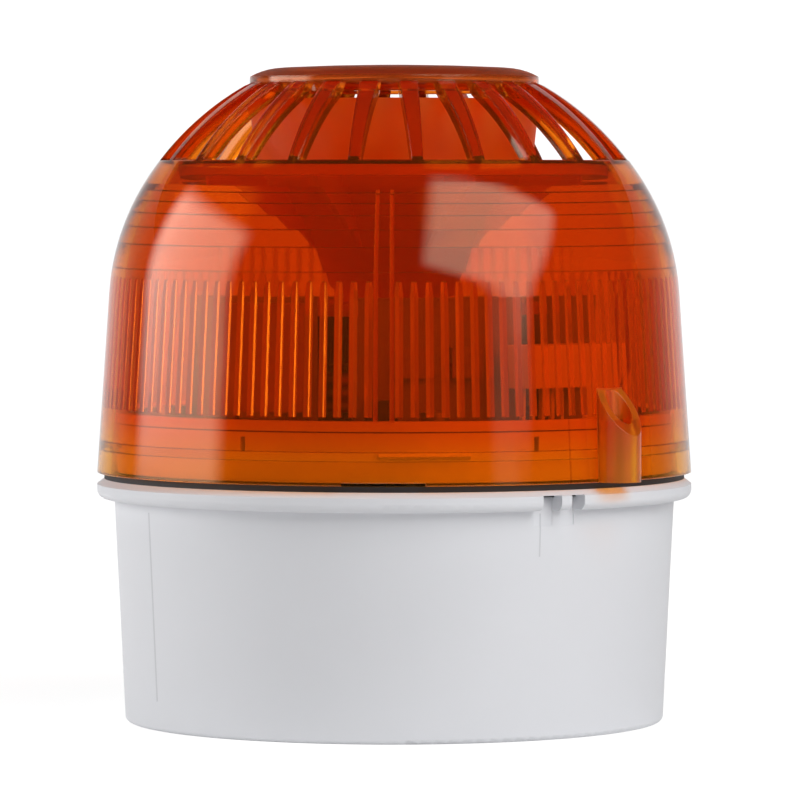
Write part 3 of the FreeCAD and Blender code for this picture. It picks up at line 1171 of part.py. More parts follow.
# Volume trimmer: a body under the board and a slotted rotor
VOLUME_FACE = f"({BOARD_LOW} - volume_height)"
blank = box("volume_blank", "volume_size", "volume_size", "volume_height", "volume_x", "volume_y", VOLUME_FACE)
well = rod("volume_well", "rotor_radius + rotor_gap", "2 * (rotor_height - rotor_proud + rotor_gap)", "volume_x",
           "volume_y", f"{VOLUME_FACE} - (rotor_height - rotor_proud + rotor_gap)")
keep("volume_body", cut("volume_body", blank, [well]))
disc = rod("rotor_disc", "rotor_radius", "rotor_height", "volume_x", "volume_y", f"{VOLUME_FACE} - rotor_proud")
slot = box("rotor_slot", "3 * rotor_radius", "screw_slot", "2 * screw_slot_depth", "volume_x", "volume_y",
           f"{VOLUME_FACE} - rotor_proud - screw_slot_depth")
keep("volume_rotor", cut("volume_rotor", disc, [slot]))

# Contact pads under the deck, each with a pin up to the board
pads = []
for way, spot in enumerate(WAYS):
    plate = box(f"pad_plate_{way}", "pad_width", "pad_length", "pad_thick", spot, f"({SPRING_Y} - spring_bow)", PAD_LOW)
    pin = rod(f"pad_pin_{way}", "pad_pin", f"{BOARD_LOW} - {PAD_LOW}", spot, f"({SPRING_Y} - spring_bow)", PAD_LOW)
    pads.append(fuse(f"contact_pad_{way}", [plate, pin]))
keep("contact_pads", group("contact_pads", pads))

# Check the whole document, then write one file for each sub-part
doc.recompute()
for item in doc.Objects:
    if "Invalid" in item.State or "Error" in item.State:
        raise ValueError(f"{item.Name} failed: {item.State}")
for name, item in nodes.items():
    if item.Shape.isNull() or not item.Shape.isValid():
        raise ValueError(f"{name} has no valid shape")

os.makedirs("parts", exist_ok=True)
for name, item in nodes.items():
    item.Shape.exportStep(os.path.join("parts", f"{name}.step"))
    print(f"{name}: {len(item.Shape.Solids)} solids, {item.Shape.Volume:.1f} mm3")
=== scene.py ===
import math
import bpy
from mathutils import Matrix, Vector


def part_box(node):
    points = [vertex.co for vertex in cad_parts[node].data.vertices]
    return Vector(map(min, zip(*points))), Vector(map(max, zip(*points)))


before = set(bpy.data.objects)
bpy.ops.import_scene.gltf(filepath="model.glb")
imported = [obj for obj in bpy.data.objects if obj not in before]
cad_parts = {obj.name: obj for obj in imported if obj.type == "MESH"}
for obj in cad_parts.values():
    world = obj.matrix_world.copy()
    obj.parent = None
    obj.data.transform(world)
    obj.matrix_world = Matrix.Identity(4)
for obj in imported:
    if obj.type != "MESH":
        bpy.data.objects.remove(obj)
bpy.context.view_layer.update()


# Base housing: the round cup that is screwed to the wall and takes the head in its bayonet.
# Injection-moulded white ABS, so the face is a fine satin with soft edges, faint flow shading
# and thin raised witness lines on the outside where the parts of the mould met, darkened with painted
# shade.
def linear(text):
    """Turn an sRGB hex colour into linear values."""
    shares = [int(text[i:i + 2], 16) / 255 for i in (1, 3, 5)]
    return [s / 12.92 if s <= 0.04045 else ((s + 0.055) / 1.055) ** 2.4 for s in shares] + [1.0]


def add(tree, kind, given=None, **settings):
    """Add one node with its settings, and set or link its inputs."""
    made = tree.nodes.new(kind)
    for name, value in settings.items():
        setattr(made, name, value)
    for name, value in (given or {}).items():
        if isinstance(value, bpy.types.NodeSocket):
            tree.links.new(value, made.inputs[name])
        else:
            made.inputs[name].default_value = value
    return made


def new_finish(name):
    """Start an empty material; give it, its node tree and the place on the object."""
    made = bpy.data.materials.new(name)
    made.use_nodes = True
    made.node_tree.nodes.clear()
    return made, made.node_tree, add(made.node_tree, "ShaderNodeTexCoord").outputs["Object"]


def dress(material, slot, *names):
    """Put a finish on the solids that are made of it."""
    for name in names:
        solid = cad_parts[name]
        solid.data.materials.clear()
        solid.data.materials.append(material)


def per_metre(size_mm):
    """Texture scale that gives one grain for each such size."""
    return 1000.0 / size_mm


def turn_of(tree, axes):
    """Angle about the upright axis, counted from the front and rising to the right."""
    front = add(tree, "ShaderNodeMath", {0: axes.outputs["Y"], 1: -1.0}, operation="MULTIPLY")
    turn = add(tree, "ShaderNodeMath", {0: axes.outputs["X"], 1: front.outputs[0]}, operation="ARCTAN2")
    return turn.outputs[0]


ACROSS = (1.0, 1.0, 0.0)
FLANGE_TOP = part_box("base_housing")[1].z
FLANGE_FOOT = FLANGE_TOP - 0.0046
WALL_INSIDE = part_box("base_housing")[1].x - 0.0045
LONG_LINE_TURN = math.radians(-59.0)
LONG_LINE_HALF = math.radians(0.28)
SHORT_LINE_TURN = math.radians(30.2)
SHORT_LINE_HALF = math.radians(0.16)
SHORT_LINE_MIDDLE = FLANGE_TOP - 0.0073
SHORT_LINE_REACH = 0.0035
LINE_PAINTED_SHADE = 0.35
FLOW_MM = 24
GRAIN_MM = 0.7
white_abs, tree, place = new_finish("moulded_white_abs")
axes = add(tree, "ShaderNodeSeparateXYZ", {"Vector": place})
turn = turn_of(tree, axes)
flat = add(tree, "ShaderNodeVectorMath", {0: place, 1: ACROSS}, operation="MULTIPLY")
spread = add(tree, "ShaderNodeVectorMath", {0: flat.outputs["Vector"]}, operation="LENGTH")
outside = add(tree, "ShaderNodeMath", {0: spread.outputs["Value"], 1: WALL_INSIDE},
              operation="GREATER_THAN")
under_flange = add(tree, "ShaderNodeMath", {0: axes.outputs["Z"], 1: FLANGE_FOOT},
                   operation="LESS_THAN")
long_line = add(tree, "ShaderNodeMath", {0: turn, 1: LONG_LINE_TURN, 2: LONG_LINE_HALF},
                operation="COMPARE")
for limit in (under_flange, outside):
    long_line = add(tree, "ShaderNodeMath", {0: long_line.outputs[0], 1: limit.outputs[0]},
                    operation="MULTIPLY")
short_line = add(tree, "ShaderNodeMath", {0: turn, 1: SHORT_LINE_TURN, 2: SHORT_LINE_HALF},
                 operation="COMPARE")
near_flange = add(tree, "ShaderNodeMath", {
    0: axes.outputs["Z"], 1: SHORT_LINE_MIDDLE, 2: SHORT_LINE_REACH}, operation="COMPARE")
short_line = add(tree, "ShaderNodeMath", {0: short_line.outputs[0], 1: near_flange.outputs[0]},
                 operation="MULTIPLY")
witness = add(tree, "ShaderNodeMath", {0: long_line.outputs[0], 1: short_line.outputs[0]},
              operation="ADD")
flow = add(tree, "ShaderNodeTexNoise", {"Vector": place, "Scale": per_metre(FLOW_MM), "Detail": 2.0})
tint = add(tree, "ShaderNodeMix", {
    "Factor": flow.outputs["Fac"], 6: linear("#e3e4e8"), 7: linear("#e9eaee")}, data_type="RGBA")
# The witness lines are darkened with painted shade: a share of grey is mixed into the tint along them.
line_painted_shade = add(tree, "ShaderNodeMath", {0: witness.outputs[0], 1: LINE_PAINTED_SHADE}, operation="MULTIPLY")
tint = add(tree, "ShaderNodeMix", {
    "Factor": line_painted_shade.outputs[0], 6: tint.outputs[2], 7: linear("#a9aaae")}, data_type="RGBA")
# The mould's grain is drawn coarser than the real one, so that it shows.
grain = add(tree, "ShaderNodeTexNoise", {"Vector": place, "Scale": per_metre(GRAIN_MM), "Detail": 2.0})
gloss = add(tree, "ShaderNodeMapRange", {"Value": grain.outputs["Fac"], "To Min": 0.38, "To Max": 0.50})
soft_edge = add(tree, "ShaderNodeBevel", {"Radius": 0.00014}, samples=6)
raised = add(tree, "ShaderNodeBump", {
    "Height": witness.outputs[0], "Strength": 0.8, "Distance": 0.00008,
    "Normal": soft_edge.outputs["Normal"]})
skin = add(tree, "ShaderNodeBump", {
    "Height": grain.outputs["Fac"], "Strength": 0.06, "Distance": 0.0001,
    "Normal": raised.outputs["Normal"]})
face = add(tree, "ShaderNodeBsdfPrincipled", {
    "Base Color": tint.outputs[2], "Roughness": gloss.outputs["Result"], "IOR": 1.53,
    "Normal": skin.outputs["Normal"]})
add(tree, "ShaderNodeOutputMaterial", {"Surface": face.outputs["BSDF"]})
dress(white_abs, "white_housing", "base_housing")


# Seals: the ring in the flange groove that shows as the dark line under the lens, and the ring on the
# horn's ledge. Moulded black silicone rubber, matt with a slightly greasy sheen, pressed into place.
# Its grain, like those of the plain finishes below, is drawn coarser than the real one, so that it shows.
def mottled(name, grain_mm, detail, colours, gloss, rounding=0.0, relief=0.0, **surface):
    """Make a finish whose tint and gloss follow one grain; edges can be rounded and the grain raised."""
    made, tree, place = new_finish(name)
    grain = add(tree, "ShaderNodeTexNoise", {
        "Vector": place, "Scale": per_metre(grain_mm), "Detail": detail})
    tint = add(tree, "ShaderNodeMix", {
        "Factor": grain.outputs["Fac"], 6: linear(colours[0]), 7: linear(colours[1])}, data_type="RGBA")
    sheen = add(tree, "ShaderNodeMapRange", {
        "Value": grain.outputs["Fac"], "To Min": gloss[0], "To Max": gloss[1]})
    normal = {}
    if rounding:
        soft_edge = add(tree, "ShaderNodeBevel", {"Radius": rounding}, samples=4)
        normal = {"Normal": soft_edge.outputs["Normal"]}
    if relief:
        skin = add(tree, "ShaderNodeBump", {
            "Height": grain.outputs["Fac"], "Strength": relief, "Distance": 0.0001, **normal})
        normal = {"Normal": skin.outputs["Normal"]}
    face = add(tree, "ShaderNodeBsdfPrincipled", {
        "Base Color": tint.outputs[2], "Roughness": sheen.outputs["Result"], **normal, **surface})
    add(tree, "ShaderNodeOutputMaterial", {"Surface": face.outputs["BSDF"]})
    return made


rubber = mottled("black_silicone_rubber", grain_mm=0.9, detail=3.0, colours=("#161518", "#262428"),
                 gloss=(0.5, 0.75), relief=0.15, IOR=1.43)
dress(rubber, "black_seal", "head_seal", "horn_seal")


# Terminal block and link connector: the insulator on two posts of the base, and the plug on the board.
# Moulded white polyamide, a little yellower and duller than the housing, with crisp edges.
polyamide = mottled("moulded_white_polyamide", grain_mm=1.2, detail=3.0, colours=("#d4d3cc", "#dfded8"),
                    gloss=(0.45, 0.6), rounding=0.0002, relief=0.1, IOR=1.53)
dress(polyamide, "white_insulator", "terminal_block", "link_connector")


# Brass pieces: clamp cages, contact springs and pads, and the plate of the sound source.
# Stamped brass strip, rolled bright, with a rolling grain along X and light tarnish. The grain is
# drawn coarser than the real one, so that it shows.
ROLLING_MM = 0.25
ROLLING_STRETCH = (0.06, 1.0, 1.0)
TARNISH_MM = 3
brass, tree, place = new_finish("stamped_brass")
along = add(tree, "ShaderNodeMapping", {"Vector": place, "Scale": ROLLING_STRETCH})
rolling = add(tree, "ShaderNodeTexNoise", {
    "Vector": along.outputs["Vector"], "Scale": per_metre(ROLLING_MM), "Detail": 2.0})
tarnish = add(tree, "ShaderNodeTexNoise", {
    "Vector": place, "Scale": per_metre(TARNISH_MM), "Detail": 3.0})
tint = add(tree, "ShaderNodeMix", {
    "Factor": tarnish.outputs["Fac"], 6: linear("#d9b365"), 7: linear("#b98d43")}, data_type="RGBA")
gloss = add(tree, "ShaderNodeMapRange", {"Value": rolling.outputs["Fac"], "To Min": 0.2, "To Max": 0.4})
face = add(tree, "ShaderNodeBsdfPrincipled", {
    "Base Color": tint.outputs[2], "Metallic": 1.0, "Roughness": gloss.outputs["Result"]})
add(tree, "ShaderNodeOutputMaterial", {"Surface": face.outputs["BSDF"]})
dress(brass, "brass", "terminal_cages", "contact_pads", "piezo_plate")
dress(brass, "spring_metal", "contact_springs")


# Screws: clamp, block, board and driver screws with slotted heads.
# Cold-headed steel, zinc plated, so grey with a faint blue and cloudy gloss.
zinc = mottled("zinc_plated_steel", grain_mm=0.8, detail=3.0, colours=("#b4b7bb", "#cdd0d3"),
               gloss=(0.22, 0.42), Metallic=1.0)
dress(zinc, "screw_steel", "terminal_screws", "block_screws", "board_screws", "driver_screws")


# Chassis: the carrier inside the lens foot, with deck, bayonet skirt and the ring that the lens snaps
# over. Moulded in the same white ABS as the base; a fine groove runs round the ring, with painted shade
# in it, which shows through the lens foot.
GROOVE_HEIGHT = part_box("chassis")[1].z - 0.00175
GROOVE_HALF = 0.00012
RING_FLOW_MM = 11
ring_abs, tree, place = new_finish("grooved_white_abs")
height = add(tree, "ShaderNodeSeparateXYZ", {"Vector": place}).outputs["Z"]
groove_with_painted_shade = add(tree, "ShaderNodeMath", {0: height, 1: GROOVE_HEIGHT, 2: GROOVE_HALF}, operation="COMPARE")
flow = add(tree, "ShaderNodeTexNoise", {
    "Vector": place, "Scale": per_metre(RING_FLOW_MM), "Detail": 2.0})
tint = add(tree, "ShaderNodeMix", {
    "Factor": flow.outputs["Fac"], 6: linear("#dcdde0"), 7: linear("#e9eaee")}, data_type="RGBA")
# Painted shade in the groove: the tint turns dark grey along it.
tint = add(tree, "ShaderNodeMix", {
    "Factor": groove_with_painted_shade.outputs[0], 6: tint.outputs[2], 7: linear("#6b6b6e")}, data_type="RGBA")
grain = add(tree, "ShaderNodeTexNoise", {"Vector": place, "Scale": per_metre(GRAIN_MM), "Detail": 2.0})
gloss = add(tree, "ShaderNodeMapRange", {"Value": grain.outputs["Fac"], "To Min": 0.4, "To Max": 0.52})
soft_edge = add(tree, "ShaderNodeBevel", {"Radius": 0.00025}, samples=4)
skin = add(tree, "ShaderNodeBump", {
    "Height": groove_with_painted_shade.outputs[0], "Strength": 0.8, "Distance": 0.0001,
    "Normal": soft_edge.outputs["Normal"]}, invert=True)
face = add(tree, "ShaderNodeBsdfPrincipled", {
    "Base Color": tint.outputs[2], "Roughness": gloss.outputs["Result"], "IOR": 1.53,
    "Normal": skin.outputs["Normal"]})
add(tree, "ShaderNodeOutputMaterial", {"Surface": face.outputs["BSDF"]})
dress(ring_abs, "white_housing", "chassis")


# Main board: the round circuit board on four posts of the chassis.
# Glass-epoxy laminate under green solder mask, with copper areas that show as slightly lighter fields.
COPPER_FIELD_MM = 9
WEAVE_MM = 0.5
green_mask, tree, place = new_finish("green_solder_mask")
fields = add(tree, "ShaderNodeTexBrick", {
    "Vector": place, "Scale": per_metre(COPPER_FIELD_MM), "Mortar Size": 0.06,
    "Color1": linear("#1d5a37"), "Color2": linear("#226640"), "Mortar": linear("#164a2c")})
weave = add(tree, "ShaderNodeTexNoise", {"Vector": place, "Scale": per_metre(WEAVE_MM), "Detail": 2.0})
gloss = add(tree, "ShaderNodeMapRange", {"Value": weave.outputs["Fac"], "To Min": 0.28, "To Max": 0.42})
skin = add(tree, "ShaderNodeBump", {
    "Height": fields.outputs["Fac"], "Strength": 0.2, "Distance": 0.00005})
face = add(tree, "ShaderNodeBsdfPrincipled", {
    "Base Color": fields.outputs["Color"], "Roughness": gloss.outputs["Result"],
    "Normal": skin.outputs["Normal"]})
add(tree, "ShaderNodeOutputMaterial", {"Surface": face.outputs["BSDF"]})
dress(green_mask, "board", "main_board")


# Black parts: the cup of the sound source under the horn, and on the board the capacitors, choke core,
# chip and fuse. Glass-filled black PBT and like compounds, moulded, matt with a fine speckle and
# slightly rounded edges; the cup stands on the board and the others are soldered to it.
pbt = mottled("black_glass_filled_pbt", grain_mm=0.4, detail=2.0, colours=("#272423", "#353130"),
              gloss=(0.4, 0.6), rounding=0.00025)
dress(pbt, "black_housing", "driver_housing")
dress(pbt, "capacitor_sleeve", "capacitors")
dress(pbt, "ferrite", "choke_core")
dress(pbt, "chip", "control_chip", "board_fuse")


# Relay: the upright block at the front left of the board, soldered by its pins.
# Moulded tan polyester, a plain satin that shows as a warm block through the ribs.
tan_case = mottled("moulded_tan_polyester", grain_mm=0.7, detail=2.0, colours=("#9a7458", "#a88264"),
                   gloss=(0.35, 0.5), rounding=0.00025)
dress(tan_case, "relay_case", "relay")


# Ceramic disc: the active layer that is bonded under the brass plate of the sound source.
# Fired ceramic under a thin silver coat, so cream white with a dull sheen.
ceramic = mottled("silvered_ceramic", grain_mm=0.6, detail=2.0, colours=("#d2cdbf", "#e0dccf"),
                  gloss=(0.35, 0.5))
dress(ceramic, "ceramic", "piezo_ceramic")


# Choke winding: the wire wound round the choke's core.
# Enamelled copper, glossy red-brown; the turns lie side by side as raised bands, drawn coarser than the
# real wire, so that they show, with painted shade between the turns and a painted highlight on their
# crests.
TURN_MM = 2.2
BANDS_AT_SCALE_ONE = 20 / math.tau
copper, tree, place = new_finish("enamelled_copper_wire")
turns_and_painted_light = add(tree, "ShaderNodeTexWave", {
    "Vector": place, "Scale": per_metre(TURN_MM) / BANDS_AT_SCALE_ONE}, bands_direction="Z")
# Painted shade between the turns and painted highlight on their crests, in the two tints of the bands.
tint = add(tree, "ShaderNodeMix", {
    "Factor": turns_and_painted_light.outputs["Fac"], 6: linear("#7d3518"), 7: linear("#b9622f")}, data_type="RGBA")
skin = add(tree, "ShaderNodeBump", {
    "Height": turns_and_painted_light.outputs["Fac"], "Strength": 0.6, "Distance": 0.0002})
face = add(tree, "ShaderNodeBsdfPrincipled", {
    "Base Color": tint.outputs[2], "Metallic": 1.0, "Roughness": 0.3, "Normal": skin.outputs["Normal"]})
add(tree, "ShaderNodeOutputMaterial", {"Surface": face.outputs["BSDF"]})
dress(copper, "copper_wire", "choke_winding")


# Light boards: six upright boards round the sound source, with two lamps each.
# Glass epoxy under buff solder mask, a dull satin with dusty shading; the lamps are small packages
# full of yellow resin, smoother than the boards.
buff_mask = mottled("buff_solder_mask", grain_mm=3, detail=3.0, colours=("#806a60", "#8e7a70"),
                    gloss=(0.35, 0.5))
dress(buff_mask, "light_board", "led_boards")
resin = mottled("yellow_lamp_resin", grain_mm=1.2, detail=2.0, colours=("#8a6d33", "#997b40"),
                gloss=(0.2, 0.35))
dress(resin, "lamp", "leds")


# Tone switches and volume trimmer, under the board where the installer reaches them.
# Moulded cases in red and blue with white sliders and rotor, all plain satin plastic.
sliders = [f"switch_slider_{way}" for way in range(1, 6)]
for name, slot, colours, nodes in (
        ("red_switch_case", "switch_case", ("#9c1b17", "#b2261f"), ["switch_body"]),
        ("white_slider", "switch_slider", ("#d9d9d4", "#e6e6e2"), sliders),
        ("blue_trimmer_case", "trimmer_case", ("#1f3f8b", "#2a4d9c"), ["volume_body"]),
        ("white_rotor", "trimmer_rotor", ("#d9d6cd", "#e6e2d9"), ["volume_rotor"])):
    moulded = mottled(name, grain_mm=0.8, detail=2.0, colours=colours, gloss=(0.38, 0.5))
    dress(moulded, slot, *nodes)


# Sound horn: the flared amber moulding under the crown, screwed through its foot to the sound source.
# Polycarbonate from a matt tool, so it lets light through but blurs what is behind it; flare and ledge
# are painted lighter than the throat, as painted light.
# The index of both amber pieces is matched below the typical 1.58.
def let_light_in(tree, body, colour):
    """Show a dyed body, but let light for the parts inside pass through it in a colour."""
    passing = add(tree, "ShaderNodeBsdfTransparent", {"Color": colour})
    ray = add(tree, "ShaderNodeLightPath")
    surface = add(tree, "ShaderNodeMixShader", {
        "Fac": ray.outputs["Is Shadow Ray"], 1: body.outputs["BSDF"], 2: passing.outputs["BSDF"]})
    add(tree, "ShaderNodeOutputMaterial", {"Surface": surface.outputs["Shader"]})


LEDGE_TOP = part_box("horn_seal")[0].z + 0.0001
FLARE_START = 0.014
FLARE_END = 0.034
HORN_WAVE_MM = 9
satin_amber, tree, place = new_finish("satin_amber_polycarbonate")
wave = add(tree, "ShaderNodeTexNoise", {
    "Vector": place, "Scale": per_metre(HORN_WAVE_MM), "Detail": 1.0})
gloss = add(tree, "ShaderNodeMapRange", {"Value": wave.outputs["Fac"], "To Min": 0.34, "To Max": 0.55})
height = add(tree, "ShaderNodeSeparateXYZ", {"Vector": place}).outputs["Z"]
flat = add(tree, "ShaderNodeVectorMath", {0: place, 1: ACROSS}, operation="MULTIPLY")
spread = add(tree, "ShaderNodeVectorMath", {0: flat.outputs["Vector"]}, operation="LENGTH")
flare_painted_light = add(tree, "ShaderNodeMapRange", {
    "Value": spread.outputs["Value"], "From Min": FLARE_START, "From Max": FLARE_END})
under_crown = add(tree, "ShaderNodeMath", {0: height, 1: LEDGE_TOP}, operation="LESS_THAN")
flare_painted_light = add(tree, "ShaderNodeMath", {0: flare_painted_light.outputs["Result"], 1: under_crown.outputs[0]},
            operation="MULTIPLY")
dye_and_painted_light = add(tree, "ShaderNodeMix", {
    "Factor": wave.outputs["Fac"], 6: linear("#d26510"), 7: linear("#e87f14")}, data_type="RGBA")
# Painted light: the flare and ledge are tinted lighter than the throat.
dye_and_painted_light = add(tree, "ShaderNodeMix", {
    "Factor": flare_painted_light.outputs[0], 6: dye_and_painted_light.outputs[2], 7: linear("#f4b866")}, data_type="RGBA")
skin = add(tree, "ShaderNodeBump", {"Height": wave.outputs["Fac"], "Strength": 0.25, "Distance": 0.002})
body = add(tree, "ShaderNodeBsdfPrincipled", {
    "Base Color": dye_and_painted_light.outputs[2], "Roughness": gloss.outputs["Result"], "IOR": 1.25,
    "Transmission Weight": 0.7, "Normal": skin.outputs["Normal"]})
let_light_in(tree, body, linear("#e1a059"))
dress(satin_amber, "amber_lens", "sound_horn")


# Lens: the amber moulding over the lamps, with ribbed wall, tool tube, slotted crown and cap, snapped
# over the chassis ring. Polycarbonate dyed through, from a polished tool: clear and glossy with a slight
# wave; the rib flanks, two inner ridges, the tube and the cap's top are satin.
LENS_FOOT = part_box("lens")[0].z
LENS_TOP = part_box("lens")[1].z
LENS_WAVE_MM = 14
amber, tree, place = new_finish("amber_polycarbonate")
wave = add(tree, "ShaderNodeTexNoise", {
    "Vector": place, "Scale": per_metre(LENS_WAVE_MM), "Detail": 1.0})
axes = add(tree, "ShaderNodeSeparateXYZ", {"Vector": place})
height = axes.outputs["Z"]
turn = turn_of(tree, axes)
flat = add(tree, "ShaderNodeVectorMath", {0: place, 1: ACROSS}, operation="MULTIPLY")

# Lean of a face against the outward direction, and whether it is on the inside of the wall.
outward = add(tree, "ShaderNodeVectorMath", {0: flat.outputs["Vector"]}, operation="NORMALIZE")
side = add(tree, "ShaderNodeNewGeometry")
facing = add(tree, "ShaderNodeVectorTransform", {"Vector": side.outputs["True Normal"]},
             vector_type="NORMAL", convert_from="WORLD", convert_to="OBJECT")
lean = add(tree, "ShaderNodeVectorMath", {0: facing.outputs["Vector"], 1: outward.outputs["Vector"]},
           operation="DOT_PRODUCT")
from_front = add(tree, "ShaderNodeMath", {0: side.outputs["Backfacing"], 1: -2.0, 2: 1.0},
                 operation="MULTIPLY_ADD")
true_lean = add(tree, "ShaderNodeMath", {0: lean.outputs["Value"], 1: from_front.outputs[0]},
                operation="MULTIPLY")
inner = add(tree, "ShaderNodeMath", {0: true_lean.outputs[0], 1: 0.0}, operation="LESS_THAN")

# Satin rib flanks, and the two ridges inside the wall on both sides of the clear stripe.
RIB_MIDDLE = LENS_FOOT + 0.02215
RIB_REACH = 0.0120
FLANK_LEAN = 0.94
STRIPE_TURN = math.radians(-2.0)
RIDGE_OFFSET = math.radians(1.6)
RIDGE_HALF = math.radians(0.45)
RIDGE_MIDDLE = LENS_FOOT + 0.0285
RIDGE_REACH = 0.01845
in_ribs = add(tree, "ShaderNodeMath", {0: height, 1: RIB_MIDDLE, 2: RIB_REACH}, operation="COMPARE")
slope = add(tree, "ShaderNodeMath", {0: lean.outputs["Value"]}, operation="ABSOLUTE")
sloped = add(tree, "ShaderNodeMath", {0: slope.outputs[0], 1: FLANK_LEAN}, operation="LESS_THAN")
flank = add(tree, "ShaderNodeMath", {0: in_ribs.outputs[0], 1: sloped.outputs[0]}, operation="MULTIPLY")
off_stripe = add(tree, "ShaderNodeMath", {0: turn, 1: STRIPE_TURN}, operation="SUBTRACT")
off_stripe = add(tree, "ShaderNodeMath", {0: off_stripe.outputs[0]}, operation="ABSOLUTE")
ridge = add(tree, "ShaderNodeMath", {0: off_stripe.outputs[0], 1: RIDGE_OFFSET, 2: RIDGE_HALF},
            operation="COMPARE")
along_ridge = add(tree, "ShaderNodeMath", {0: height, 1: RIDGE_MIDDLE, 2: RIDGE_REACH},
                  operation="COMPARE")
for limit in (along_ridge, inner):
    ridge = add(tree, "ShaderNodeMath", {0: ridge.outputs[0], 1: limit.outputs[0]},
                operation="MULTIPLY")
satin = add(tree, "ShaderNodeMath", {0: flank.outputs[0], 1: ridge.outputs[0]}, operation="MAXIMUM")

# Satin tool tube, up to its slanted mouth.
TUBE_AXIS = 0.051
TUBE_TURN = math.radians(45.6)
TUBE_REACH = 0.00375
TUBE_SATIN = 0.35
MOUTH_SLANT = 1.288
MOUTH_RISE = 0.1201
tube_way = (math.sin(TUBE_TURN), -math.cos(TUBE_TURN))
from_tube = add(tree, "ShaderNodeVectorMath", {
    0: flat.outputs["Vector"], 1: (TUBE_AXIS * tube_way[0], TUBE_AXIS * tube_way[1], 0.0)},
    operation="DISTANCE")
tube = add(tree, "ShaderNodeMath", {0: from_tube.outputs["Value"], 1: TUBE_REACH}, operation="LESS_THAN")
mouth = add(tree, "ShaderNodeVectorMath", {
    0: place, 1: (MOUTH_SLANT * tube_way[0], MOUTH_SLANT * tube_way[1], 1.0)}, operation="DOT_PRODUCT")
under_mouth = add(tree, "ShaderNodeMath", {0: mouth.outputs["Value"], 1: MOUTH_RISE},
                  operation="LESS_THAN")
tube = add(tree, "ShaderNodeMath", {0: tube.outputs[0], 1: under_mouth.outputs[0]}, operation="MULTIPLY")
tube = add(tree, "ShaderNodeMath", {0: tube.outputs[0], 1: TUBE_SATIN}, operation="MULTIPLY")
satin = add(tree, "ShaderNodeMath", {0: satin.outputs[0], 1: tube.outputs[0]}, operation="MAXIMUM")
clearness = add(tree, "ShaderNodeMapRange", {
    "Value": satin.outputs[0], "To Min": 0.95, "To Max": 0.55})

# Gloss, duller on the tube and on the cap's top.
CAP_TOP = LENS_TOP - 0.0020
TUBE_DULLNESS = 0.7
CAP_DULLNESS = 0.46
gloss = add(tree, "ShaderNodeMapRange", {"Value": wave.outputs["Fac"], "To Min": 0.02, "To Max": 0.06})
gloss = add(tree, "ShaderNodeMath", {0: tube.outputs[0], 1: TUBE_DULLNESS, 2: gloss.outputs["Result"]},
            operation="MULTIPLY_ADD")
cap_top = add(tree, "ShaderNodeMath", {0: height, 1: CAP_TOP}, operation="GREATER_THAN")
gloss = add(tree, "ShaderNodeMath", {0: cap_top.outputs[0], 1: CAP_DULLNESS, 2: gloss.outputs[0]},
            operation="MULTIPLY_ADD")

# Parting line low on the outside of the wall, raised and darkened with painted shade, and edges that are
# rounder on the crown.
SEAM_TURN = math.radians(34.9)
SEAM_HALF = math.radians(0.2)
SEAM_MIDDLE = LENS_FOOT + 0.00515
SEAM_REACH = 0.0052
SEAM_PAINTED_SHADE = 0.5
CROWN_FOOT = LENS_TOP - 0.0176
parting = add(tree, "ShaderNodeMath", {0: turn, 1: SEAM_TURN, 2: SEAM_HALF}, operation="COMPARE")
low_wall = add(tree, "ShaderNodeMath", {0: height, 1: SEAM_MIDDLE, 2: SEAM_REACH}, operation="COMPARE")
parting = add(tree, "ShaderNodeMath", {0: parting.outputs[0], 1: low_wall.outputs[0]},
              operation="MULTIPLY")
parting = add(tree, "ShaderNodeMath", {0: parting.outputs[0], 1: inner.outputs[0]}, operation="SUBTRACT",
              use_clamp=True)
crown = add(tree, "ShaderNodeMath", {0: height, 1: CROWN_FOOT}, operation="GREATER_THAN")
rounding = add(tree, "ShaderNodeMapRange", {
    "Value": crown.outputs[0], "To Min": 0.00025, "To Max": 0.0006})
soft_edge = add(tree, "ShaderNodeBevel", {"Radius": rounding.outputs["Result"]}, samples=4)
seam = add(tree, "ShaderNodeBump", {
    "Height": parting.outputs[0], "Strength": 1.0, "Distance": 0.0001,
    "Normal": soft_edge.outputs["Normal"]})
skin = add(tree, "ShaderNodeBump", {
    "Height": wave.outputs["Fac"], "Strength": 0.05, "Distance": 0.001, "Normal": seam.outputs["Normal"]})

# Dye, browner in the thick cap; the foot is painted yellower, painted light for the white chassis ring
# that lights it from behind.
FOOT_GLOW_LOW = LENS_FOOT + 0.00315
FOOT_GLOW_HIGH = LENS_FOOT + 0.00965
CAP_FOOT = LENS_TOP - 0.0035
painted_foot_glow = add(tree, "ShaderNodeMapRange", {
    "Value": height, "From Min": FOOT_GLOW_LOW, "From Max": FOOT_GLOW_HIGH})
# Painted light: the dye turns yellower towards the foot, where the white ring lights it.
dye_and_painted_light = add(tree, "ShaderNodeMix", {
    "Factor": painted_foot_glow.outputs["Result"], 6: linear("#e69812"), 7: linear("#e17312")}, data_type="RGBA")
cap = add(tree, "ShaderNodeMath", {0: height, 1: CAP_FOOT}, operation="GREATER_THAN")
dye_and_painted_light = add(tree, "ShaderNodeMix", {
    "Factor": cap.outputs[0], 6: dye_and_painted_light.outputs[2], 7: linear("#c4581c")}, data_type="RGBA")
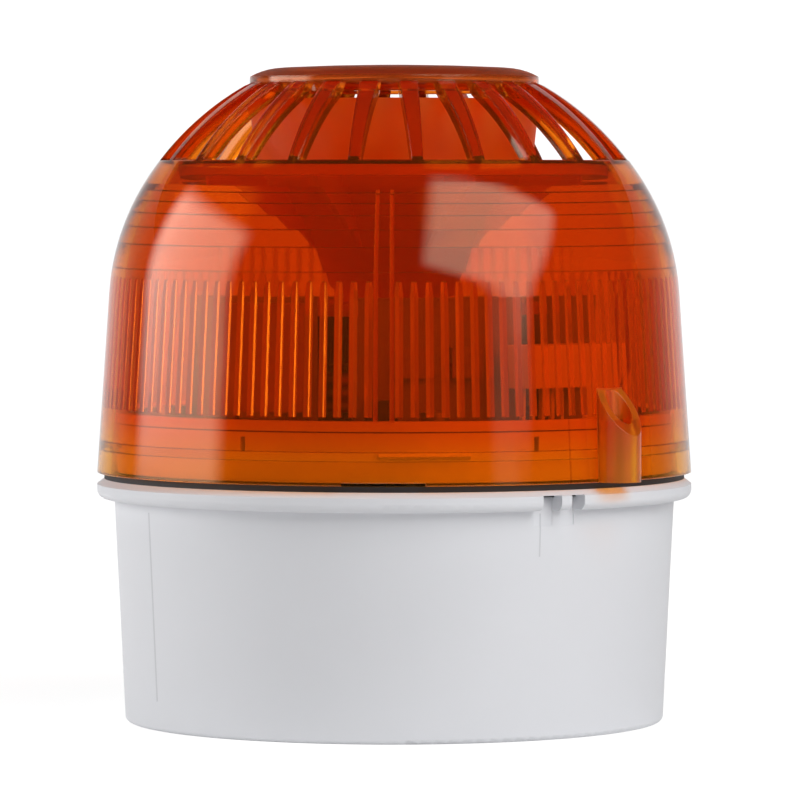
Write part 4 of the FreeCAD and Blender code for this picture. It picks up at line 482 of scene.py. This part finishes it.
# Painted shade along the parting line: a share of dark amber is mixed into the dye there.
seam_painted_shade = add(tree, "ShaderNodeMath", {0: parting.outputs[0], 1: SEAM_PAINTED_SHADE}, operation="MULTIPLY")
dye_and_painted_light = add(tree, "ShaderNodeMix", {
    "Factor": seam_painted_shade.outputs[0], 6: dye_and_painted_light.outputs[2], 7: linear("#8e3c0a")}, data_type="RGBA")
body = add(tree, "ShaderNodeBsdfPrincipled", {
    "Base Color": dye_and_painted_light.outputs[2], "Roughness": gloss.outputs[0], "IOR": 1.49,
    "Specular Tint": linear("#fff0cf"), "Transmission Weight": clearness.outputs["Result"],
    "Normal": skin.outputs["Normal"]})
passing = add(tree, "ShaderNodeMix", {
    "Factor": painted_foot_glow.outputs["Result"], 6: linear("#f3c269"), 7: linear("#f3b668")}, data_type="RGBA")
let_light_in(tree, body, passing.outputs[2])
dress(amber, "amber_lens", "lens")


# Studio: a white paper floor and backdrop, two soft boxes, a weak low strip and a dim room.
# The paper shows white to the camera and through the lens, keeps the shadow, and fades in reflections
# towards its sides and its top.
def sheet(name, corners, material):
    """Lay one flat sheet of paper through its corners."""
    made = bpy.data.meshes.new(name)
    made.from_pydata(corners, [], [list(range(len(corners)))])
    made.materials.append(material)
    item = bpy.data.objects.new(name, made)
    bpy.context.scene.collection.objects.link(item)


WIDE = 2.7
FRONT = -1.3
BACK = 1.4
TALL = 0.8
FIBRE_MM = 2
SHADE_INNER = 0.07
SHADE_OUTER = 0.30
FADE_SIDE = 2.2
FADE_LOW = 0.12
FADE_HIGH = 0.45
paper, tree, place = new_finish("white_paper")
fibre = add(tree, "ShaderNodeTexNoise", {"Vector": place, "Scale": per_metre(FIBRE_MM)})
tint = add(tree, "ShaderNodeMix", {
    "Factor": fibre.outputs["Fac"], 6: linear("#f4f4f4"), 7: linear("#f8f8f8")}, data_type="RGBA")
matt = add(tree, "ShaderNodeBsdfDiffuse", {"Color": tint.outputs[2]})
thin = add(tree, "ShaderNodeBsdfDiffuse", {"Color": linear("#8e8e8e")})
reach = add(tree, "ShaderNodeVectorMath", {0: place}, operation="LENGTH")
glow = add(tree, "ShaderNodeMapRange", {
    "Value": reach.outputs["Value"], "From Min": SHADE_INNER, "From Max": SHADE_OUTER,
    "To Min": 0.89, "To Max": 1.0})
glow = add(tree, "ShaderNodeEmission", {"Strength": glow.outputs["Result"]})
seen_paper = add(tree, "ShaderNodeAddShader", {0: thin.outputs["BSDF"], 1: glow.outputs["Emission"]})
ray = add(tree, "ShaderNodeLightPath")
axes = add(tree, "ShaderNodeSeparateXYZ", {"Vector": place})
off_side = add(tree, "ShaderNodeMath", {0: axes.outputs["X"]}, operation="ABSOLUTE")
middle = add(tree, "ShaderNodeMapRange", {
    "Value": off_side.outputs[0], "From Min": FADE_SIDE, "From Max": 0.0, "To Max": 0.7},
    interpolation_type="SMOOTHSTEP")
low = add(tree, "ShaderNodeMapRange", {
    "Value": axes.outputs["Z"], "From Min": FADE_LOW, "From Max": FADE_HIGH,
    "To Min": 1.0, "To Max": 0.25}, interpolation_type="SMOOTHSTEP")
fade = add(tree, "ShaderNodeMath", {0: middle.outputs["Result"], 1: low.outputs["Result"]},
           operation="MULTIPLY")
seen = add(tree, "ShaderNodeMath", {0: ray.outputs["Is Glossy Ray"], 1: fade.outputs[0]},
           operation="MULTIPLY")
for look in ("Is Camera Ray", "Is Transmission Ray"):
    seen = add(tree, "ShaderNodeMath", {0: seen.outputs[0], 1: ray.outputs[look]}, operation="MAXIMUM")
sweep = add(tree, "ShaderNodeMixShader", {
    "Fac": seen.outputs[0], 1: matt.outputs["BSDF"], 2: seen_paper.outputs["Shader"]})
add(tree, "ShaderNodeOutputMaterial", {"Surface": sweep.outputs["Shader"]})
paper.cycles.emission_sampling = "NONE"
sheet("floor", [(-WIDE, FRONT, 0), (WIDE, FRONT, 0), (WIDE, BACK, 0), (-WIDE, BACK, 0)], paper)
sheet("backdrop", [(-WIDE, BACK, 0), (WIDE, BACK, 0), (WIDE, BACK, TALL), (-WIDE, BACK, TALL)], paper)

LIGHT_AIM = 0.06
CLOTH_MIDDLE = 0.5


def soft_box(name, azimuth, height, distance, width, tall, power, fade, roll=0):
    """Hang one soft box, aimed at the middle of the object and rolled about its own axis."""
    turn = math.radians(azimuth)
    lamp = bpy.data.lights.new(name, "AREA")
    lamp.shape = "RECTANGLE"
    lamp.size = width
    lamp.size_y = tall
    lamp.energy = power
    lamp.use_nodes = True
    tree = lamp.node_tree
    tree.nodes.clear()
    cloth_place = add(tree, "ShaderNodeNewGeometry").outputs["Parametric"]
    sides = add(tree, "ShaderNodeSeparateXYZ", {"Vector": cloth_place})
    shares = []
    for side in ("X", "Y"):
        off = add(tree, "ShaderNodeMath", {0: sides.outputs[side], 1: CLOTH_MIDDLE}, operation="SUBTRACT")
        off = add(tree, "ShaderNodeMath", {0: off.outputs[0]}, operation="ABSOLUTE")
        share = add(tree, "ShaderNodeMapRange", {
            "Value": off.outputs[0], "From Min": CLOTH_MIDDLE, "From Max": CLOTH_MIDDLE - fade,
            "To Max": 1.0}, interpolation_type="SMOOTHSTEP")
        shares.append(share.outputs["Result"])
    both = add(tree, "ShaderNodeMath", {0: shares[0], 1: shares[1]}, operation="MULTIPLY")
    cloth = add(tree, "ShaderNodeEmission", {"Strength": both.outputs[0]})
    add(tree, "ShaderNodeOutputLight", {"Surface": cloth.outputs["Emission"]})
    item = bpy.data.objects.new(name, lamp)
    item.location = (distance * math.sin(turn), -distance * math.cos(turn), height)
    aim = item.location.copy()
    aim.z -= LIGHT_AIM
    item.rotation_euler = aim.to_track_quat("Z", "Y").to_euler()
    item.rotation_euler.rotate_axis("Z", math.radians(roll))
    bpy.context.scene.collection.objects.link(item)


soft_box("soft_box_right", azimuth=44, height=0.645, distance=0.85, width=1.0, tall=1.0,
         power=11.9, fade=0.14, roll=-30)
soft_box("soft_box_left", azimuth=-93, height=0.335, distance=0.90, width=1.0, tall=0.68,
         power=9, fade=0.2)
soft_box("low_strip", azimuth=43, height=0.14, distance=1.0, width=0.28, tall=0.30,
         power=0.17, fade=0.35)

scene = bpy.context.scene
room = bpy.data.worlds.new("dim_studio")
scene.world = room
room.use_nodes = True
tree = room.node_tree
tree.nodes.clear()
ray = add(tree, "ShaderNodeLightPath")
white = add(tree, "ShaderNodeBackground", {"Color": linear("#ffffff"), "Strength": 1.0})
dim = add(tree, "ShaderNodeBackground", {"Color": linear("#ffffff"), "Strength": 0.03})
shown = add(tree, "ShaderNodeMixShader", {
    "Fac": ray.outputs["Is Camera Ray"], 1: dim.outputs["Background"], 2: white.outputs["Background"]})
add(tree, "ShaderNodeOutputWorld", {"Surface": shown.outputs["Shader"]})

EYE = (0.00097, -0.950, 0.090)
AIM_HEIGHT = 0.0538
FOCAL_LENGTH_MM = 254
SENSOR_MM = 36
FAR_END = 20
camera = bpy.data.cameras.new("camera")
camera.lens = FOCAL_LENGTH_MM
camera.sensor_width = SENSOR_MM
camera.clip_end = FAR_END
eye = bpy.data.objects.new("camera", camera)
eye.location = EYE
eye.rotation_euler = (math.pi / 2 - math.atan((EYE[2] - AIM_HEIGHT) / -EYE[1]), 0, 0)
scene.collection.objects.link(eye)
scene.camera = eye
scene.view_settings.view_transform = "Standard"
